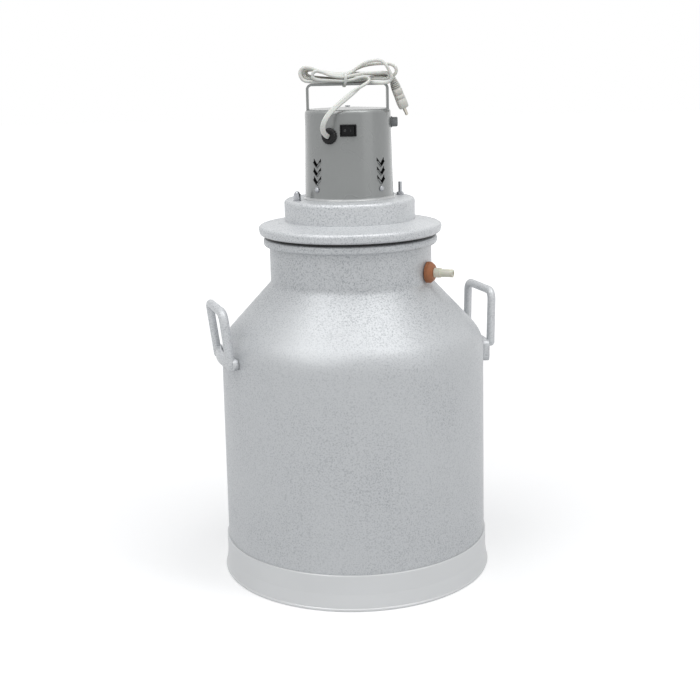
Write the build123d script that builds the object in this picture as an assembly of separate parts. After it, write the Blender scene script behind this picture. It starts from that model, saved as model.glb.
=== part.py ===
from build123d import *
from math import cos, pi, radians, sin, sqrt, tan
import os

# Electric butter churn. Millimetres, +Z up. The origin is the centre of the can's
# base on the floor, the front with the switch faces -Y.

# Can
WALL_TOP_R = 175.4
WALL_FLARE = 2.1
WALL_BASE_R = WALL_TOP_R + WALL_FLARE
WALL_BASE_Z = 6.0
WALL_SEAM_Z = 271.0
SHOULDER_Z = 320.0
SHOULDER_BEND = 46.0
NECK_R = 107.0
NECK_Z = 394.0
NECK_BEND = 10.0
NECK_SEAM_Z = NECK_Z + 4.3
RIM_LEDGE_Z = NECK_Z + 49.0
RIM_HIGH = 11.7
RIM_TOP_Z = RIM_LEDGE_Z + RIM_HIGH
RIM_PROUD = 7.6
RIM_R = NECK_R + RIM_PROUD
RIM_ROUNDINGS = (0.4, 4.0, 5.4, 1.5)
CAN_SHEET = 2.0
BOTTOM_Z = 24.0
BOTTOM_CROWN = 5.0
BOTTOM_FLANGE = 15.0
BOTTOM_FLAT_R = 12.0
BOTTOM_BENDS = (20.0, 8.0)
SEAM_GAP = 0.05

# Foot ring
FOOT_TOP_Z = 48.0
FOOT_BAND_PROUD = 1.8
FOOT_BAND_R = WALL_BASE_R + FOOT_BAND_PROUD
FOOT_FLARE_Z = 22.0
FOOT_EDGE_PROUD = 5.1
FOOT_EDGE_R = WALL_BASE_R + FOOT_EDGE_PROUD
FOOT_BEAD_R = 2.3
FOOT_FLAT = 0.3
FOOT_BEVEL = 1.2

# Can handles
CAN_HANDLE_TURN = 17.5
HALF_TURN = 180.0
CAN_HANDLE_ROD_R = 4.5
CAN_HANDLE_WIDTH = 80.0
CAN_HANDLE_TOP_Z = 375.8
CAN_HANDLE_BEND = 14.0
CAN_HANDLE_LEFT_PROUD = 1.3
CAN_HANDLE_RIGHT_PROUD = 7.3
CAN_HANDLE_LEFT_TOP_PROUD = 9.7
CAN_HANDLE_RIGHT_TOP_PROUD = 8.75
HANDLE_FOOT_LOW_Z = 280.0
HANDLE_FOOT_TOP_Z = 308.0
CAN_HANDLE_FOOT_Z = HANDLE_FOOT_TOP_Z - 8.0
HANDLE_FOOT_WIDTH = 108.0
HANDLE_FOOT_SHEET = 8.0
HANDLE_FOOT_ROUNDING = 8.0
HANDLE_FOOT_GAP = 0.3

# Nozzle in the neck
NOZZLE_AZIMUTH = -23.5
NOZZLE_Z = 408.8
NOZZLE_R = 5.25
NOZZLE_BORE_R = 2.75
NOZZLE_REACH = 36.0
NOZZLE_COLLAR_R = 6.4
NOZZLE_COLLAR_LONG = 9.0
GROMMET_R = 13.8
GROMMET_NECK_R = 9.0
GROMMET_OUT = 10.5
GROMMET_SEAT = 0.45
GROMMET_IN = 3.0
LOCKNUT_FLATS = 17.0
LOCKNUT_HIGH = 5.0

# Lid
LID_TOP_Z = RIM_TOP_Z + 21.0
LID_FLAT_R = 87.5
LID_R = RIM_R + 6.8
LID_EDGE_Z = LID_TOP_Z - 6.7
LID_TUCK_R = RIM_R + 4.4
LID_TUCK_Z = RIM_TOP_Z + 3.7
LID_LIP_R = RIM_R + 0.3
LID_LIP_Z = RIM_TOP_Z + 2.3
LID_SHEET = 2.0
LID_BENDS = (3.0, 4.5, 3.5)
GASKET_HIGH = 4.0
GASKET_INSET = 0.8
SKIRT_R = NECK_R - 4.2
SKIRT_SHEET = 1.5
SKIRT_LOW_Z = 432.0
LIP_GAP = 0.3
LIP_INSET = 1.0

# Motor platform on the lid
PLATFORM_R = 85.8
PLATFORM_HIGH = 27.3
PLATFORM_TOP_Z = LID_TOP_Z + PLATFORM_HIGH
PLATFORM_SHEET = 1.5
PLATFORM_BEND = 5.0
PLATFORM_HOLE_R = 13.0
STUD_AZIMUTH = 20.0
STUD_CIRCLE_R = 72.0
STUD_R = 2.5
STUD_LEFT_PROUD = 9.0
STUD_RIGHT_PROUD = 17.5
STUD_HEAD_FLATS = 8.0
STUD_HEAD_HIGH = 3.5
CAP_NUT_HIGH = 7.5
CAP_NUT_DOME_R = 3.7
THIN_NUT_HIGH = 2.7
STUD_NUT_FLATS = 8.0
WASHER_R = 5.2
WASHER_HIGH = 1.0

# Motor cover
COVER_SHEET = 1.2
COVER_FLANGE_R = 60.2
COVER_FLANGE_BEND = 1.8
COVER_LOW_R = 58.05
COVER_GAP = 0.05
COVER_LOW_Z = PLATFORM_TOP_Z + COVER_SHEET + COVER_GAP
COVER_HIGH_R = 55.3
COVER_HIGH_Z = 617.5
COVER_TOP_Z = COVER_HIGH_Z + 2.1
COVER_BEND = 5.5
COVER_CROWN_R = 15.0
COVER_CROWN_BEND = 30.0
LOUVRE_COLUMNS = 4
LOUVRE_FIRST_AZIMUTH = 45.0
LOUVRE_VERTEX_Z = (524.6, 535.6, 546.6)
LOUVRE_RISE = 7.4
LOUVRE_HALF_WIDTH = 6.4
LOUVRE_SLOT = 3.4
LOUVRE_LIP = 2.2
LOUVRE_PROUD = 2.0
COVER_SCREW_Z = 518.0
COVER_SCREW_R = 2.0
COVER_SCREW_HEAD_R = 3.4
COVER_SCREW_HEAD_HIGH = 2.2
COVER_SCREW_LONG = 6.0
BRACKET_WIDE = 14.0
BRACKET_SHEET = 2.0
BRACKET_FOOT = 5.2
BRACKET_TOP_Z = 525.0

# Cover handle
STRAP_OUT = 53.0
STRAP_THICK = 3.2
STRAP_WIDE = 20.0
STRAP_TOP_Z = 650.0
STRAP_FOOT_Z = 609.5
STRAP_BEND = 7.5
STRAP_GAP = 0.2

# Switch, gland and fuse holder in the cover wall
SWITCH_Z = 592.5
SWITCH_WIDE = 21.0
SWITCH_HIGH = 15.0
SWITCH_BEZEL = 2.0
SWITCH_BODY_WIDE = 18.8
SWITCH_BODY_HIGH = 12.6
SWITCH_BODY_DEEP = 20.0
ROCKER_WIDE = 16.0
ROCKER_HIGH = 10.4
ROCKER_GAP = 0.35
ROCKER_TILT = 11.0
ROCKER_DEPTH = 5.0
ROCKER_PIN_R = 1.25
ROCKER_PIN_LONG = 0.8
ROCKER_PIN_DEEP = 1.6
ROCKER_SWING_ROOM = 3.2
ROCKER_CREST = 3.0
SWITCH_ROUNDING = 1.2
GLAND_AZIMUTH = -114.8
GLAND_Z = 585.8
GLAND_R = 9.85
GLAND_NECK_R = 7.7
GLAND_PROUD = 5.0
GLAND_MOUTH_R = 4.4
GLAND_MOUTH_DEEP = 1.2
GLAND_BARB = 0.8
GLAND_INSIDE = 6.0
FUSE_Z = 599.5
FUSE_HOLDER_R = 5.4
FUSE_FLANGE_R = 7.2
FUSE_FLANGE_HIGH = 1.6
FUSE_HOLDER_DEEP = 28.0
FUSE_CAP_R = 6.2
FUSE_CAP_HIGH = 6.6
FUSE_BORE_R = 3.4
FUSE_FLOOR = 3.0
FUSE_STEM_LONG = 6.0
FUSE_STEM_GAP = 0.09
FUSE_CAP_GAP = 0.2
FUSE_SLOT_WIDE = 1.4
FUSE_SLOT_DEEP = 1.2
FUSE_NUT_FLATS = 14.0
FUSE_NUT_HIGH = 2.5
HOLE_GAP = 0.15
DRILL = 20.0

# Motor
STATOR_R = 47.2
STATOR_BORE_R = 25.5
STATOR_LOW_Z = 517.0
STATOR_HIGH = 36.0
SHIELD_CUP_IN = 40.0
SHIELD_FLANGE_R = 50.0
SHIELD_FLOOR = 4.0
SHIELD_UPPER_HIGH = 17.0
BEARING_R = 16.0
BEARING_HIGH = 10.0
BEARING_OUTER_IN = 12.3
BEARING_INNER_OUT = 9.8
BEARING_LOW_Z = (505.2, 557.0)
BALLS = 7
BALL_R = 2.4
SEAT_WALL = 3.0
SHAFT_HOLE_R = 9.0
WINDING_IN = 27.5
WINDING_OUT = 39.3
WINDING_HIGH = 8.5
WINDING_ROUNDING = 2.5
ROTOR_GAP = 0.5
END_RING_IN = 20.5
END_RING_HIGH = 4.5
BOLT_CIRCLE_R = 43.6
BOLT_R = 2.0
BOLT_HEAD_R = 3.5
BOLT_HEAD_HIGH = 1.25
BOLT_INTO_SHIELD = 8.0
MOTOR_SCREW_CIRCLE_R = 33.0
MOTOR_SCREW_R = 2.5
MOTOR_SCREW_HEAD_FLATS = 8.0
MOTOR_SCREW_HEAD_HIGH = 3.0
CAPACITOR_R = 13.0
CAPACITOR_LONG = 48.0
CAPACITOR_Y = 26.0
CAPACITOR_Z = 601.0
CLIP_WIDE = 12.0
CLIP_SHEET = 1.2
CLIP_PAD_R = 4.2
CLIP_RIVET_R = 2.0
CLIP_RIVET_HEAD_R = 3.6
CLIP_RIVET_HEAD_HIGH = 1.15
CAPACITOR_ROUNDING = 1.5

# Shafts, coupling and stirrer
SHAFT_R = 6.0
FIT = 0.05
PRESS = 0.02
MOTOR_SHAFT_TOP_Z = 583.0
SHAFT_JOINT_Z = 490.0
SHAFT_JOINT_GAP = 0.6
COUPLING_R = 10.0
COUPLING_LONG = 18.0
SET_SCREW_R = 2.0
FAN_LOW_Z = 571.5
FAN_HIGH = 9.0
FAN_R = 39.0
FAN_HUB_R = 10.0
FAN_BLADES = 8
FAN_BLADE = 1.6
BUSH_R = 13.9
BUSH_FLANGE_R = 20.0
BUSH_FLANGE_HIGH = 2.8
BUSH_LOW_Z = 458.0
SEAL_R = 10.95
SEAL_HIGH = 8.0
SEAL_DEEP = 1.5
SEAL_LIP = 1.6
BUSH_SCREWS = 3
BUSH_SCREW_CIRCLE_R = 17.0
BUSH_SCREW_R = 1.6
BUSH_SCREW_HEAD_R = 2.8
BUSH_SCREW_HEAD_HIGH = 1.8
BUSH_SCREW_LONG = 8.0
STIRRER_Z = 76.0
STIRRER_HUB_R = 15.0
STIRRER_HUB_HIGH = 26.0
STIRRER_R = 75.0
BLADES = 4
BLADE_HIGH = 26.0
BLADE_THICK = 3.0
BLADE_CORNER = 4.5
BLADE_PITCH = 35.0
STIRRER_NUT_FLATS = 19.0
STIRRER_NUT_HIGH = 9.0
SHAFT_END_Z = 50.0

# Cord, hank and plug
CORD_R = 3.25
LEAD = (
    (-25.57, -55.45, 585.47),
    (-30.0, -65.5, 588.5),
    (-32.2, -73.5, 598.0),
    (-27.5, -72.5, 609.5),
    (-17.0, -63.5, 620.5),
    (-3.0, -49.5, 631.0),
    (12.0, -33.5, 642.5),
    (24.5, -16.0, 652.0),
)
HANK_OUTLINE = (
    (-52.0, 650.3),
    (46.0, 650.3),
    (57.0, 654.0),
    (61.0, 665.0),
    (52.0, 672.5),
    (33.0, 677.0),
    (14.0, 670.0),
    (3.0, 659.5),
    (-9.0, 658.4),
    (-24.0, 660.4),
    (-37.0, 665.5),
    (-53.0, 668.6),
    (-59.5, 661.0),
)
HANK_FRONT_Y = -15.0
HANK_BACK_Y = 10.5
HANK_ROUNDING = 3.0
TIE_X = -3.0
TIE_TOP_Z = 660.0
TIE_WIDE = 3.0
TIE_THICK = 1.2
TIE_GAP = 0.3
PLUG_START = (57.6, -6.0, 655.4)
PLUG_AIM = (0.36, 0.22, -0.905)
PLUG_RELIEF_R = 4.0
PLUG_RELIEF_END_R = 6.3
PLUG_RELIEF_LONG = 14.0
PLUG_LONG = 25.0
PLUG_WIDE = 35.0
PLUG_THICK = 13.7
PLUG_WAIST_THICK = 12.9
PLUG_ROUNDING = 5.5
PIN_R = 2.0
PIN_ROUNDING = 1.2
PIN_LONG = 11.0
PIN_SPACING = 18.6


def turned(points, radii=None):
    """A solid of revolution about Z from a closed (radius, height) outline."""
    if radii is None:
        outline = Polyline(*points, close=True)
    else:
        outline = FilletPolyline(*points, radius=radii, close=True)
    return revolve(Plane.XZ * make_face(outline), Axis.Z)


def pressed(points, radii, thickness, side=Side.RIGHT):
    """A spun sheet: an open (radius, height) line with bends, thickened to one side."""
    line = FilletPolyline(*points, radius=radii)
    band = offset(line, amount=thickness, side=side)
    return revolve(Plane.XZ * make_face(band), Axis.Z)


def ring(outer, inner, low, high):
    """A plain ring about Z between two heights."""
    return Pos(0, 0, (low + high) / 2) * (
        Cylinder(outer, high - low) - Cylinder(inner, high - low)
    )


def rod(radius, low, high):
    """A plain round bar about Z between two heights."""
    return Pos(0, 0, (low + high) / 2) * Cylinder(radius, high - low)


def hexagon(flats, low, high):
    """A hexagon bar about Z between two heights, measured across its flats."""
    return Pos(0, 0, low) * extrude(RegularPolygon(flats / 2, 6, major_radius=False), high - low)


def hexagon_nut(flats, low, high, bore):
    return hexagon(flats, low, high) - rod(bore, 2 * low - high, 2 * high - low)


def polar(radius, azimuth, height):
    """A place at a radius and an azimuth in degrees from +X."""
    return Pos(radius * cos(radians(azimuth)), radius * sin(radians(azimuth)), height)


def outward(azimuth, height):
    """A frame on the axis whose local Z points outwards and whose local Y points up."""
    a = radians(azimuth)
    return Plane(origin=(0, 0, height), x_dir=(-sin(a), cos(a), 0), z_dir=(cos(a), sin(a), 0))


def wall_r(z):
    """The can wall's outer radius at a height."""
    share = (z - WALL_BASE_Z) / (SHOULDER_Z - WALL_BASE_Z)
    return WALL_BASE_R + (WALL_TOP_R - WALL_BASE_R) * share


def lid_z(r):
    """The height of the lid's sloping top at a radius."""
    share = (r - LID_FLAT_R) / (LID_R - LID_FLAT_R)
    return LID_TOP_Z + (LID_EDGE_Z - LID_TOP_Z) * share


def cover_r(z):
    """The motor cover's outer radius at a height."""
    share = (z - COVER_LOW_Z) / (COVER_HIGH_Z - COVER_LOW_Z)
    return COVER_LOW_R + (COVER_HIGH_R - COVER_LOW_R) * share


def can_wall():
    outer = [(wall_r(WALL_BASE_Z), WALL_BASE_Z), (wall_r(WALL_SEAM_Z), WALL_SEAM_Z)]
    inner = [(r - CAN_SHEET, z) for r, z in reversed(outer)]
    return turned(outer + inner)


def can_shoulder():
    """Spun shoulder: the upper end of the wall and the cone up to the neck."""
    start = WALL_SEAM_Z + SEAM_GAP
    line = FilletPolyline(
        (wall_r(start), start),
        (WALL_TOP_R, SHOULDER_Z),
        (NECK_R, NECK_Z),
        (NECK_R, NECK_SEAM_Z),
        radius=[SHOULDER_BEND, NECK_BEND],
    )
    sheet = make_face(offset(line, amount=CAN_SHEET, side=Side.LEFT))
    return revolve(Plane.XZ * sheet, Axis.Z)


def can_neck():
    """Neck with the rolled rim on top and the hole for the grommet."""
    inner = NECK_R - CAN_SHEET
    sheet = ring(NECK_R, inner, NECK_SEAM_Z + SEAM_GAP, RIM_LEDGE_Z + RIM_HIGH / 2)
    bead = turned(
        [(inner, RIM_LEDGE_Z), (RIM_R, RIM_LEDGE_Z), (RIM_R, RIM_TOP_Z), (inner, RIM_TOP_Z)],
        list(RIM_ROUNDINGS),
    )
    hole = outward(NOZZLE_AZIMUTH, NOZZLE_Z) * Pos(0, 0, NECK_R) * Cylinder(
        GROMMET_NECK_R + HOLE_GAP, 6 * CAN_SHEET
    )
    return sheet + bead - hole


def can_bottom():
    """Dished bottom with a flange turned down inside the wall."""
    outer = wall_r(WALL_BASE_Z) - CAN_SHEET - 2 * SEAM_GAP
    line = [
        (0, BOTTOM_Z + BOTTOM_CROWN),
        (BOTTOM_FLAT_R, BOTTOM_Z + BOTTOM_CROWN),
        (outer, BOTTOM_Z),
        (outer, BOTTOM_Z - BOTTOM_FLANGE),
    ]
    return pressed(line, list(BOTTOM_BENDS), CAN_SHEET, Side.RIGHT)


def foot_ring():
    """Band round the wall's lower end, flared to a rolled edge on the floor."""
    bead_z = FOOT_BEAD_R - FOOT_FLAT
    bead_x = FOOT_EDGE_R - FOOT_BEAD_R
    seat = wall_r(FOOT_TOP_Z) + SEAM_GAP
    low_seat = WALL_BASE_R + SEAM_GAP
    band = turned(
        [
            (seat, FOOT_TOP_Z),
            (FOOT_BAND_R - FOOT_BEVEL * 0.6, FOOT_TOP_Z),
            (FOOT_BAND_R, FOOT_TOP_Z - FOOT_BEVEL),
            (FOOT_BAND_R, FOOT_FLARE_Z),
            (bead_x + FOOT_BEAD_R * 0.6, bead_z + FOOT_BEAD_R * 0.5),
            (bead_x - FOOT_BEAD_R * 0.7, bead_z),
            (low_seat, FOOT_FLARE_Z - 2 * FOOT_EDGE_PROUD),
        ]
    )
    bead = revolve(Plane.XZ * Pos(bead_x, bead_z) * Circle(FOOT_BEAD_R), Axis.Z)
    return band + bead - rod(2 * FOOT_EDGE_R, -2 * FOOT_BEAD_R, 0)


def can_handle(proud, top_proud, turn):
    """Forged U handle on a curved foot that is welded to the wall."""
    half = CAN_HANDLE_WIDTH / 2
    out = WALL_TOP_R + proud
    top_out = WALL_TOP_R + top_proud
    top = CAN_HANDLE_TOP_Z - CAN_HANDLE_ROD_R
    line = FilletPolyline(
        (out, -half, CAN_HANDLE_FOOT_Z),
        (top_out, -half, top),
        (top_out, half, top),
        (out, half, CAN_HANDLE_FOOT_Z),
        radius=CAN_HANDLE_BEND,
    )
    bar = sweep(Plane(line @ 0, z_dir=line % 0) * Circle(CAN_HANDLE_ROD_R), line)
    inner = wall_r(HANDLE_FOOT_LOW_Z) + HANDLE_FOOT_GAP
    band = ring(inner + HANDLE_FOOT_SHEET, inner, HANDLE_FOOT_LOW_Z, HANDLE_FOOT_TOP_Z)
    middle = (HANDLE_FOOT_LOW_Z + HANDLE_FOOT_TOP_Z) / 2
    high = HANDLE_FOOT_TOP_Z - HANDLE_FOOT_LOW_Z
    mask = outward(0, middle) * extrude(
        RectangleRounded(HANDLE_FOOT_WIDTH, high + 0.02, HANDLE_FOOT_ROUNDING), 2 * WALL_TOP_R
    )
    foot = band & mask
    return Rot(0, 0, turn) * (foot + bar)


def can_handle_left():
    turn = CAN_HANDLE_TURN + HALF_TURN
    return can_handle(CAN_HANDLE_LEFT_PROUD, CAN_HANDLE_LEFT_TOP_PROUD, turn)


def can_handle_right():
    turn = CAN_HANDLE_TURN
    return can_handle(CAN_HANDLE_RIGHT_PROUD, CAN_HANDLE_RIGHT_TOP_PROUD, turn)


def nozzle_frame():
    return outward(NOZZLE_AZIMUTH, NOZZLE_Z)


def nozzle_grommet():
    """Rubber grommet with a flange on each side of the neck sheet."""
    inner_face = sqrt((NECK_R - CAN_SHEET) ** 2 - (GROMMET_R - 1) ** 2) - HOLE_GAP
    outer_face = NECK_R + GROMMET_SEAT
    bore = NOZZLE_R + FIT
    body = turned(
        [
            (bore, inner_face - GROMMET_IN),
            (GROMMET_R - 1, inner_face - GROMMET_IN),
            (GROMMET_R - 1, inner_face),
            (GROMMET_NECK_R, inner_face),
            (GROMMET_NECK_R, outer_face),
            (GROMMET_R, outer_face),
            (GROMMET_R, NECK_R + GROMMET_OUT * 0.55),
            (GROMMET_R * 0.72, NECK_R + GROMMET_OUT),
            (bore, NECK_R + GROMMET_OUT),
        ],
        [0.2, 0.8, 0.3, 0.2, 0.2, 0.8, 3.0, 2.0, 0.2],
    )
    return nozzle_frame() * body


def nozzle():
    """Nozzle tube with a collar against the grommet and a barbed end."""
    inner_face = sqrt((NECK_R - CAN_SHEET) ** 2 - (GROMMET_R - 1) ** 2) - HOLE_GAP
    start = inner_face - GROMMET_IN - LOCKNUT_HIGH - 3
    collar = NECK_R + GROMMET_OUT + FIT
    end = NECK_R + NOZZLE_REACH
    body = turned(
        [
            (NOZZLE_BORE_R, start),
            (NOZZLE_R, start),
            (NOZZLE_R, collar),
            (NOZZLE_COLLAR_R, collar),
            (NOZZLE_COLLAR_R, collar + NOZZLE_COLLAR_LONG),
            (NOZZLE_R, collar + NOZZLE_COLLAR_LONG),
            (NOZZLE_R, end),
            (NOZZLE_BORE_R, end),
        ],
        [0.3, 0.8, 0.1, 0.6, 0.6, 0.1, 0.8, 0.3],
    )
    return nozzle_frame() * body


def nozzle_locknut():
    inner_face = sqrt((NECK_R - CAN_SHEET) ** 2 - (GROMMET_R - 1) ** 2) - HOLE_GAP
    top = inner_face - GROMMET_IN - FIT
    return nozzle_frame() * hexagon_nut(LOCKNUT_FLATS, top - LOCKNUT_HIGH, top, NOZZLE_R + FIT)


def stud_azimuths():
    return (STUD_AZIMUTH, STUD_AZIMUTH + HALF_TURN)


def lid_plate():
    """Spun lid: flat centre, sloping skirt and rolled edge that tucks over the can rim."""
    line = [
        (BUSH_R + HOLE_GAP, LID_TOP_Z),
        (LID_FLAT_R, LID_TOP_Z),
        (LID_R, LID_EDGE_Z),
        (LID_TUCK_R, LID_TUCK_Z),
        (LID_LIP_R, LID_LIP_Z),
    ]
    plate = pressed(line, list(LID_BENDS), LID_SHEET, Side.RIGHT)
    for azimuth in stud_azimuths():
        plate -= polar(STUD_CIRCLE_R, azimuth, LID_TOP_Z) * Cylinder(STUD_R + HOLE_GAP, DRILL)
    for n in range(BUSH_SCREWS):
        spot = polar(BUSH_SCREW_CIRCLE_R, 360 * n / BUSH_SCREWS, LID_TOP_Z)
        plate -= spot * Cylinder(BUSH_SCREW_R + HOLE_GAP, DRILL)
    return plate


def lid_skirt():
    """Ring under the lid that centres it in the neck and carries the gasket."""
    inner = SKIRT_R - SKIRT_SHEET
    drop = LID_SHEET * 1.02 + FIT
    flange_z = gasket_low() + GASKET_HIGH
    flange_r = LID_LIP_R - LIP_INSET
    return turned(
        [
            (inner, lid_z(inner) - drop),
            (inner, SKIRT_LOW_Z),
            (SKIRT_R, SKIRT_LOW_Z),
            (SKIRT_R, flange_z),
            (flange_r, flange_z),
            (flange_r, flange_z + SKIRT_SHEET),
            (SKIRT_R, flange_z + SKIRT_SHEET),
            (SKIRT_R, lid_z(SKIRT_R) - drop),
        ]
    )


def gasket_low():
    return RIM_TOP_Z + LIP_GAP


def lid_gasket():
    """Rubber ring that shows as a dark line between the lid's lip and the can's rim."""
    low = gasket_low()
    return ring(LID_LIP_R - GASKET_INSET, SKIRT_R + LIP_GAP, low, low + GASKET_HIGH)


def motor_platform():
    """Inverted round pan that raises the motor above the lid."""
    line = [
        (PLATFORM_HOLE_R, PLATFORM_TOP_Z),
        (PLATFORM_R, PLATFORM_TOP_Z),
        (PLATFORM_R, LID_TOP_Z + FIT),
    ]
    pan = pressed(line, PLATFORM_BEND, PLATFORM_SHEET, Side.RIGHT)
    for azimuth in stud_azimuths():
        pan -= polar(STUD_CIRCLE_R, azimuth, PLATFORM_TOP_Z) * Cylinder(STUD_R + HOLE_GAP, DRILL)
    for azimuth in motor_screw_azimuths():
        spot = polar(MOTOR_SCREW_CIRCLE_R, azimuth, PLATFORM_TOP_Z)
        pan -= spot * Cylinder(MOTOR_SCREW_R + HOLE_GAP, DRILL)
    return pan


def clamp_studs():
    """Studs from under the lid up through the platform."""
    group = []
    under = LID_TOP_Z - LID_SHEET - FIT
    for azimuth, proud in zip(stud_azimuths(), (STUD_RIGHT_PROUD, STUD_LEFT_PROUD)):
        stud = rod(STUD_R, under, PLATFORM_TOP_Z + proud)
        stud = chamfer(stud.edges().group_by(Axis.Z)[-1], STUD_R / 4)
        head = hexagon(STUD_HEAD_FLATS, under - STUD_HEAD_HIGH, under)
        group.append(polar(STUD_CIRCLE_R, azimuth, 0) * (stud + head))
    return Compound(children=group)


def clamp_washers():
    low = PLATFORM_TOP_Z + FIT
    group = []
    for azimuth in stud_azimuths():
        washer = ring(WASHER_R, STUD_R + HOLE_GAP, low, low + WASHER_HIGH)
        group.append(polar(STUD_CIRCLE_R, azimuth, 0) * washer)
    return Compound(children=group)


def clamp_nuts():
    """A thin nut on the right stud and a cap nut with a domed top on the left one."""
    low = PLATFORM_TOP_Z + WASHER_HIGH + 2 * FIT
    right, left = stud_azimuths()
    thin = hexagon_nut(STUD_NUT_FLATS, low, low + THIN_NUT_HIGH, STUD_R + FIT)
    bore_top = PLATFORM_TOP_Z + STUD_LEFT_PROUD + FIT
    dome = Pos(0, 0, low + CAP_NUT_HIGH) * Sphere(CAP_NUT_DOME_R)
    cap = hexagon(STUD_NUT_FLATS, low, low + CAP_NUT_HIGH) + dome
    cap -= rod(STUD_R + FIT, low - CAP_NUT_HIGH, bore_top)
    return Compound(
        children=[polar(STUD_CIRCLE_R, right, 0) * thin, polar(STUD_CIRCLE_R, left, 0) * cap]
    )


def louvre_azimuths():
    step = 360 / LOUVRE_COLUMNS
    return [LOUVRE_FIRST_AZIMUTH + step * n for n in range(LOUVRE_COLUMNS)]


def chevron(low, high, half, height):
    """A V-shaped band on a plane, pointing down, between two offsets from its own line."""
    rise = LOUVRE_RISE * half / LOUVRE_HALF_WIDTH
    outline = Polyline(
        (-half, rise + low),
        (0, low),
        (half, rise + low),
        (half, rise + high),
        (0, high),
        (-half, rise + high),
        close=True,
    )
    return Pos(0, 0, height) * make_face(outline)


def louvre_lip(radius):
    """The raised lip below a slot, thickest at its upper edge."""
    base = chevron(-LOUVRE_LIP, 0, LOUVRE_HALF_WIDTH, radius - 0.8)
    crest = chevron(-LOUVRE_LIP * 0.45, 0, LOUVRE_HALF_WIDTH - 1.0, radius + LOUVRE_PROUD)
    return loft([base, crest], ruled=True)


def motor_cover():
    """Drawn conical cover with pressed V louvres and cut-outs for what it carries."""
    line = [
        (COVER_FLANGE_R, COVER_LOW_Z),
        (COVER_LOW_R, COVER_LOW_Z),
        (COVER_HIGH_R, COVER_HIGH_Z),
        (COVER_CROWN_R, COVER_TOP_Z),
        (0, COVER_TOP_Z),
    ]
    shell = pressed(line, [COVER_FLANGE_BEND, COVER_BEND, COVER_CROWN_BEND], COVER_SHEET, Side.LEFT)
    lips = []
    slots = []
    for azimuth in louvre_azimuths():
        for z in LOUVRE_VERTEX_Z:
            frame = outward(azimuth, z)
            lips.append(frame * louvre_lip(cover_r(z)))
            start = chevron(0, LOUVRE_SLOT, LOUVRE_HALF_WIDTH, cover_r(z) - DRILL / 4)
            slot = extrude(start, DRILL / 2)
            slots.append(frame * slot)
    shell = shell + lips - slots
    tools = [
        outward(GLAND_AZIMUTH, GLAND_Z)
        * Pos(0, 0, COVER_HIGH_R)
        * Cylinder(GLAND_NECK_R + HOLE_GAP, DRILL),
        outward(0, FUSE_Z) * Pos(0, 0, COVER_HIGH_R) * Cylinder(FUSE_HOLDER_R + HOLE_GAP, DRILL),
        outward(-90, SWITCH_Z)
        * Pos(0, 0, COVER_HIGH_R)
        * Box(SWITCH_BODY_WIDE + 2 * HOLE_GAP, SWITCH_BODY_HIGH + 2 * HOLE_GAP, DRILL),
    ]
    for azimuth in louvre_azimuths():
        hole = Cylinder(COVER_SCREW_R + HOLE_GAP, DRILL)
        tools.append(outward(azimuth, COVER_SCREW_Z) * Pos(0, 0, bracket_out()) * hole)
    for side in (-1, 1):
        slot = Box(STRAP_THICK + 2 * STRAP_GAP, STRAP_WIDE + 2 * STRAP_GAP, DRILL)
        tools.append(Pos(side * (STRAP_OUT - STRAP_THICK / 2), 0, STRAP_FOOT_Z + DRILL / 2) * slot)
    tools.append(Pos(0, CAPACITOR_Y, COVER_TOP_Z) * Cylinder(CLIP_RIVET_R + HOLE_GAP, DRILL))
    return shell - tools


def bracket_out():
    """How far out a flat bracket reaches inside the round cover."""
    room = cover_r(BRACKET_TOP_Z) - COVER_SHEET - FIT
    return sqrt(room**2 - (BRACKET_WIDE / 2) ** 2)


def cover_brackets():
    """Angle tabs on the platform that the cover's screws go into."""
    group = []
    out = bracket_out()
    low = PLATFORM_TOP_Z + FIT
    for azimuth in louvre_azimuths():
        upright = Box(
            BRACKET_SHEET,
            BRACKET_WIDE,
            BRACKET_TOP_Z - low,
            align=(Align.MAX, Align.CENTER, Align.MIN),
        )
        foot = Box(
            BRACKET_FOOT,
            BRACKET_WIDE,
            BRACKET_SHEET,
            align=(Align.MAX, Align.CENTER, Align.MIN),
        )
        tab = Pos(out, 0, low) * (upright + foot)
        bore = Pos(out, 0, COVER_SCREW_Z) * Rot(0, 90, 0)
        tab -= bore * Cylinder(COVER_SCREW_R + FIT, DRILL)
        group.append(Rot(0, 0, azimuth) * tab)
    return Compound(children=group)


def cover_screws():
    """Pan-head screws that hold the cover to its brackets."""
    seat = cover_r(COVER_SCREW_Z - COVER_SCREW_HEAD_R) + FIT
    group = []
    for azimuth in louvre_azimuths():
        screw = turned(
            [
                (0, seat - COVER_SCREW_LONG),
                (COVER_SCREW_R, seat - COVER_SCREW_LONG),
                (COVER_SCREW_R, seat),
                (COVER_SCREW_HEAD_R, seat),
                (COVER_SCREW_HEAD_R, seat + COVER_SCREW_HEAD_HIGH * 0.5),
                (COVER_SCREW_HEAD_R * 0.5, seat + COVER_SCREW_HEAD_HIGH),
                (0, seat + COVER_SCREW_HEAD_HIGH),
            ]
        )
        group.append(outward(azimuth, COVER_SCREW_Z) * screw)
    return Compound(children=group)


def cover_handle():
    """Flat strap bent to a U, its legs set into slots of the cover's shoulder."""
    outer = STRAP_OUT
    line = FilletPolyline(
        (-outer, STRAP_FOOT_Z),
        (-outer, STRAP_TOP_Z),
        (outer, STRAP_TOP_Z),
        (outer, STRAP_FOOT_Z),
        radius=STRAP_BEND,
    )
    band = make_face(offset(line, amount=STRAP_THICK, side=Side.RIGHT))
    return extrude(Plane.XZ * band, STRAP_WIDE / 2, both=True)


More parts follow.
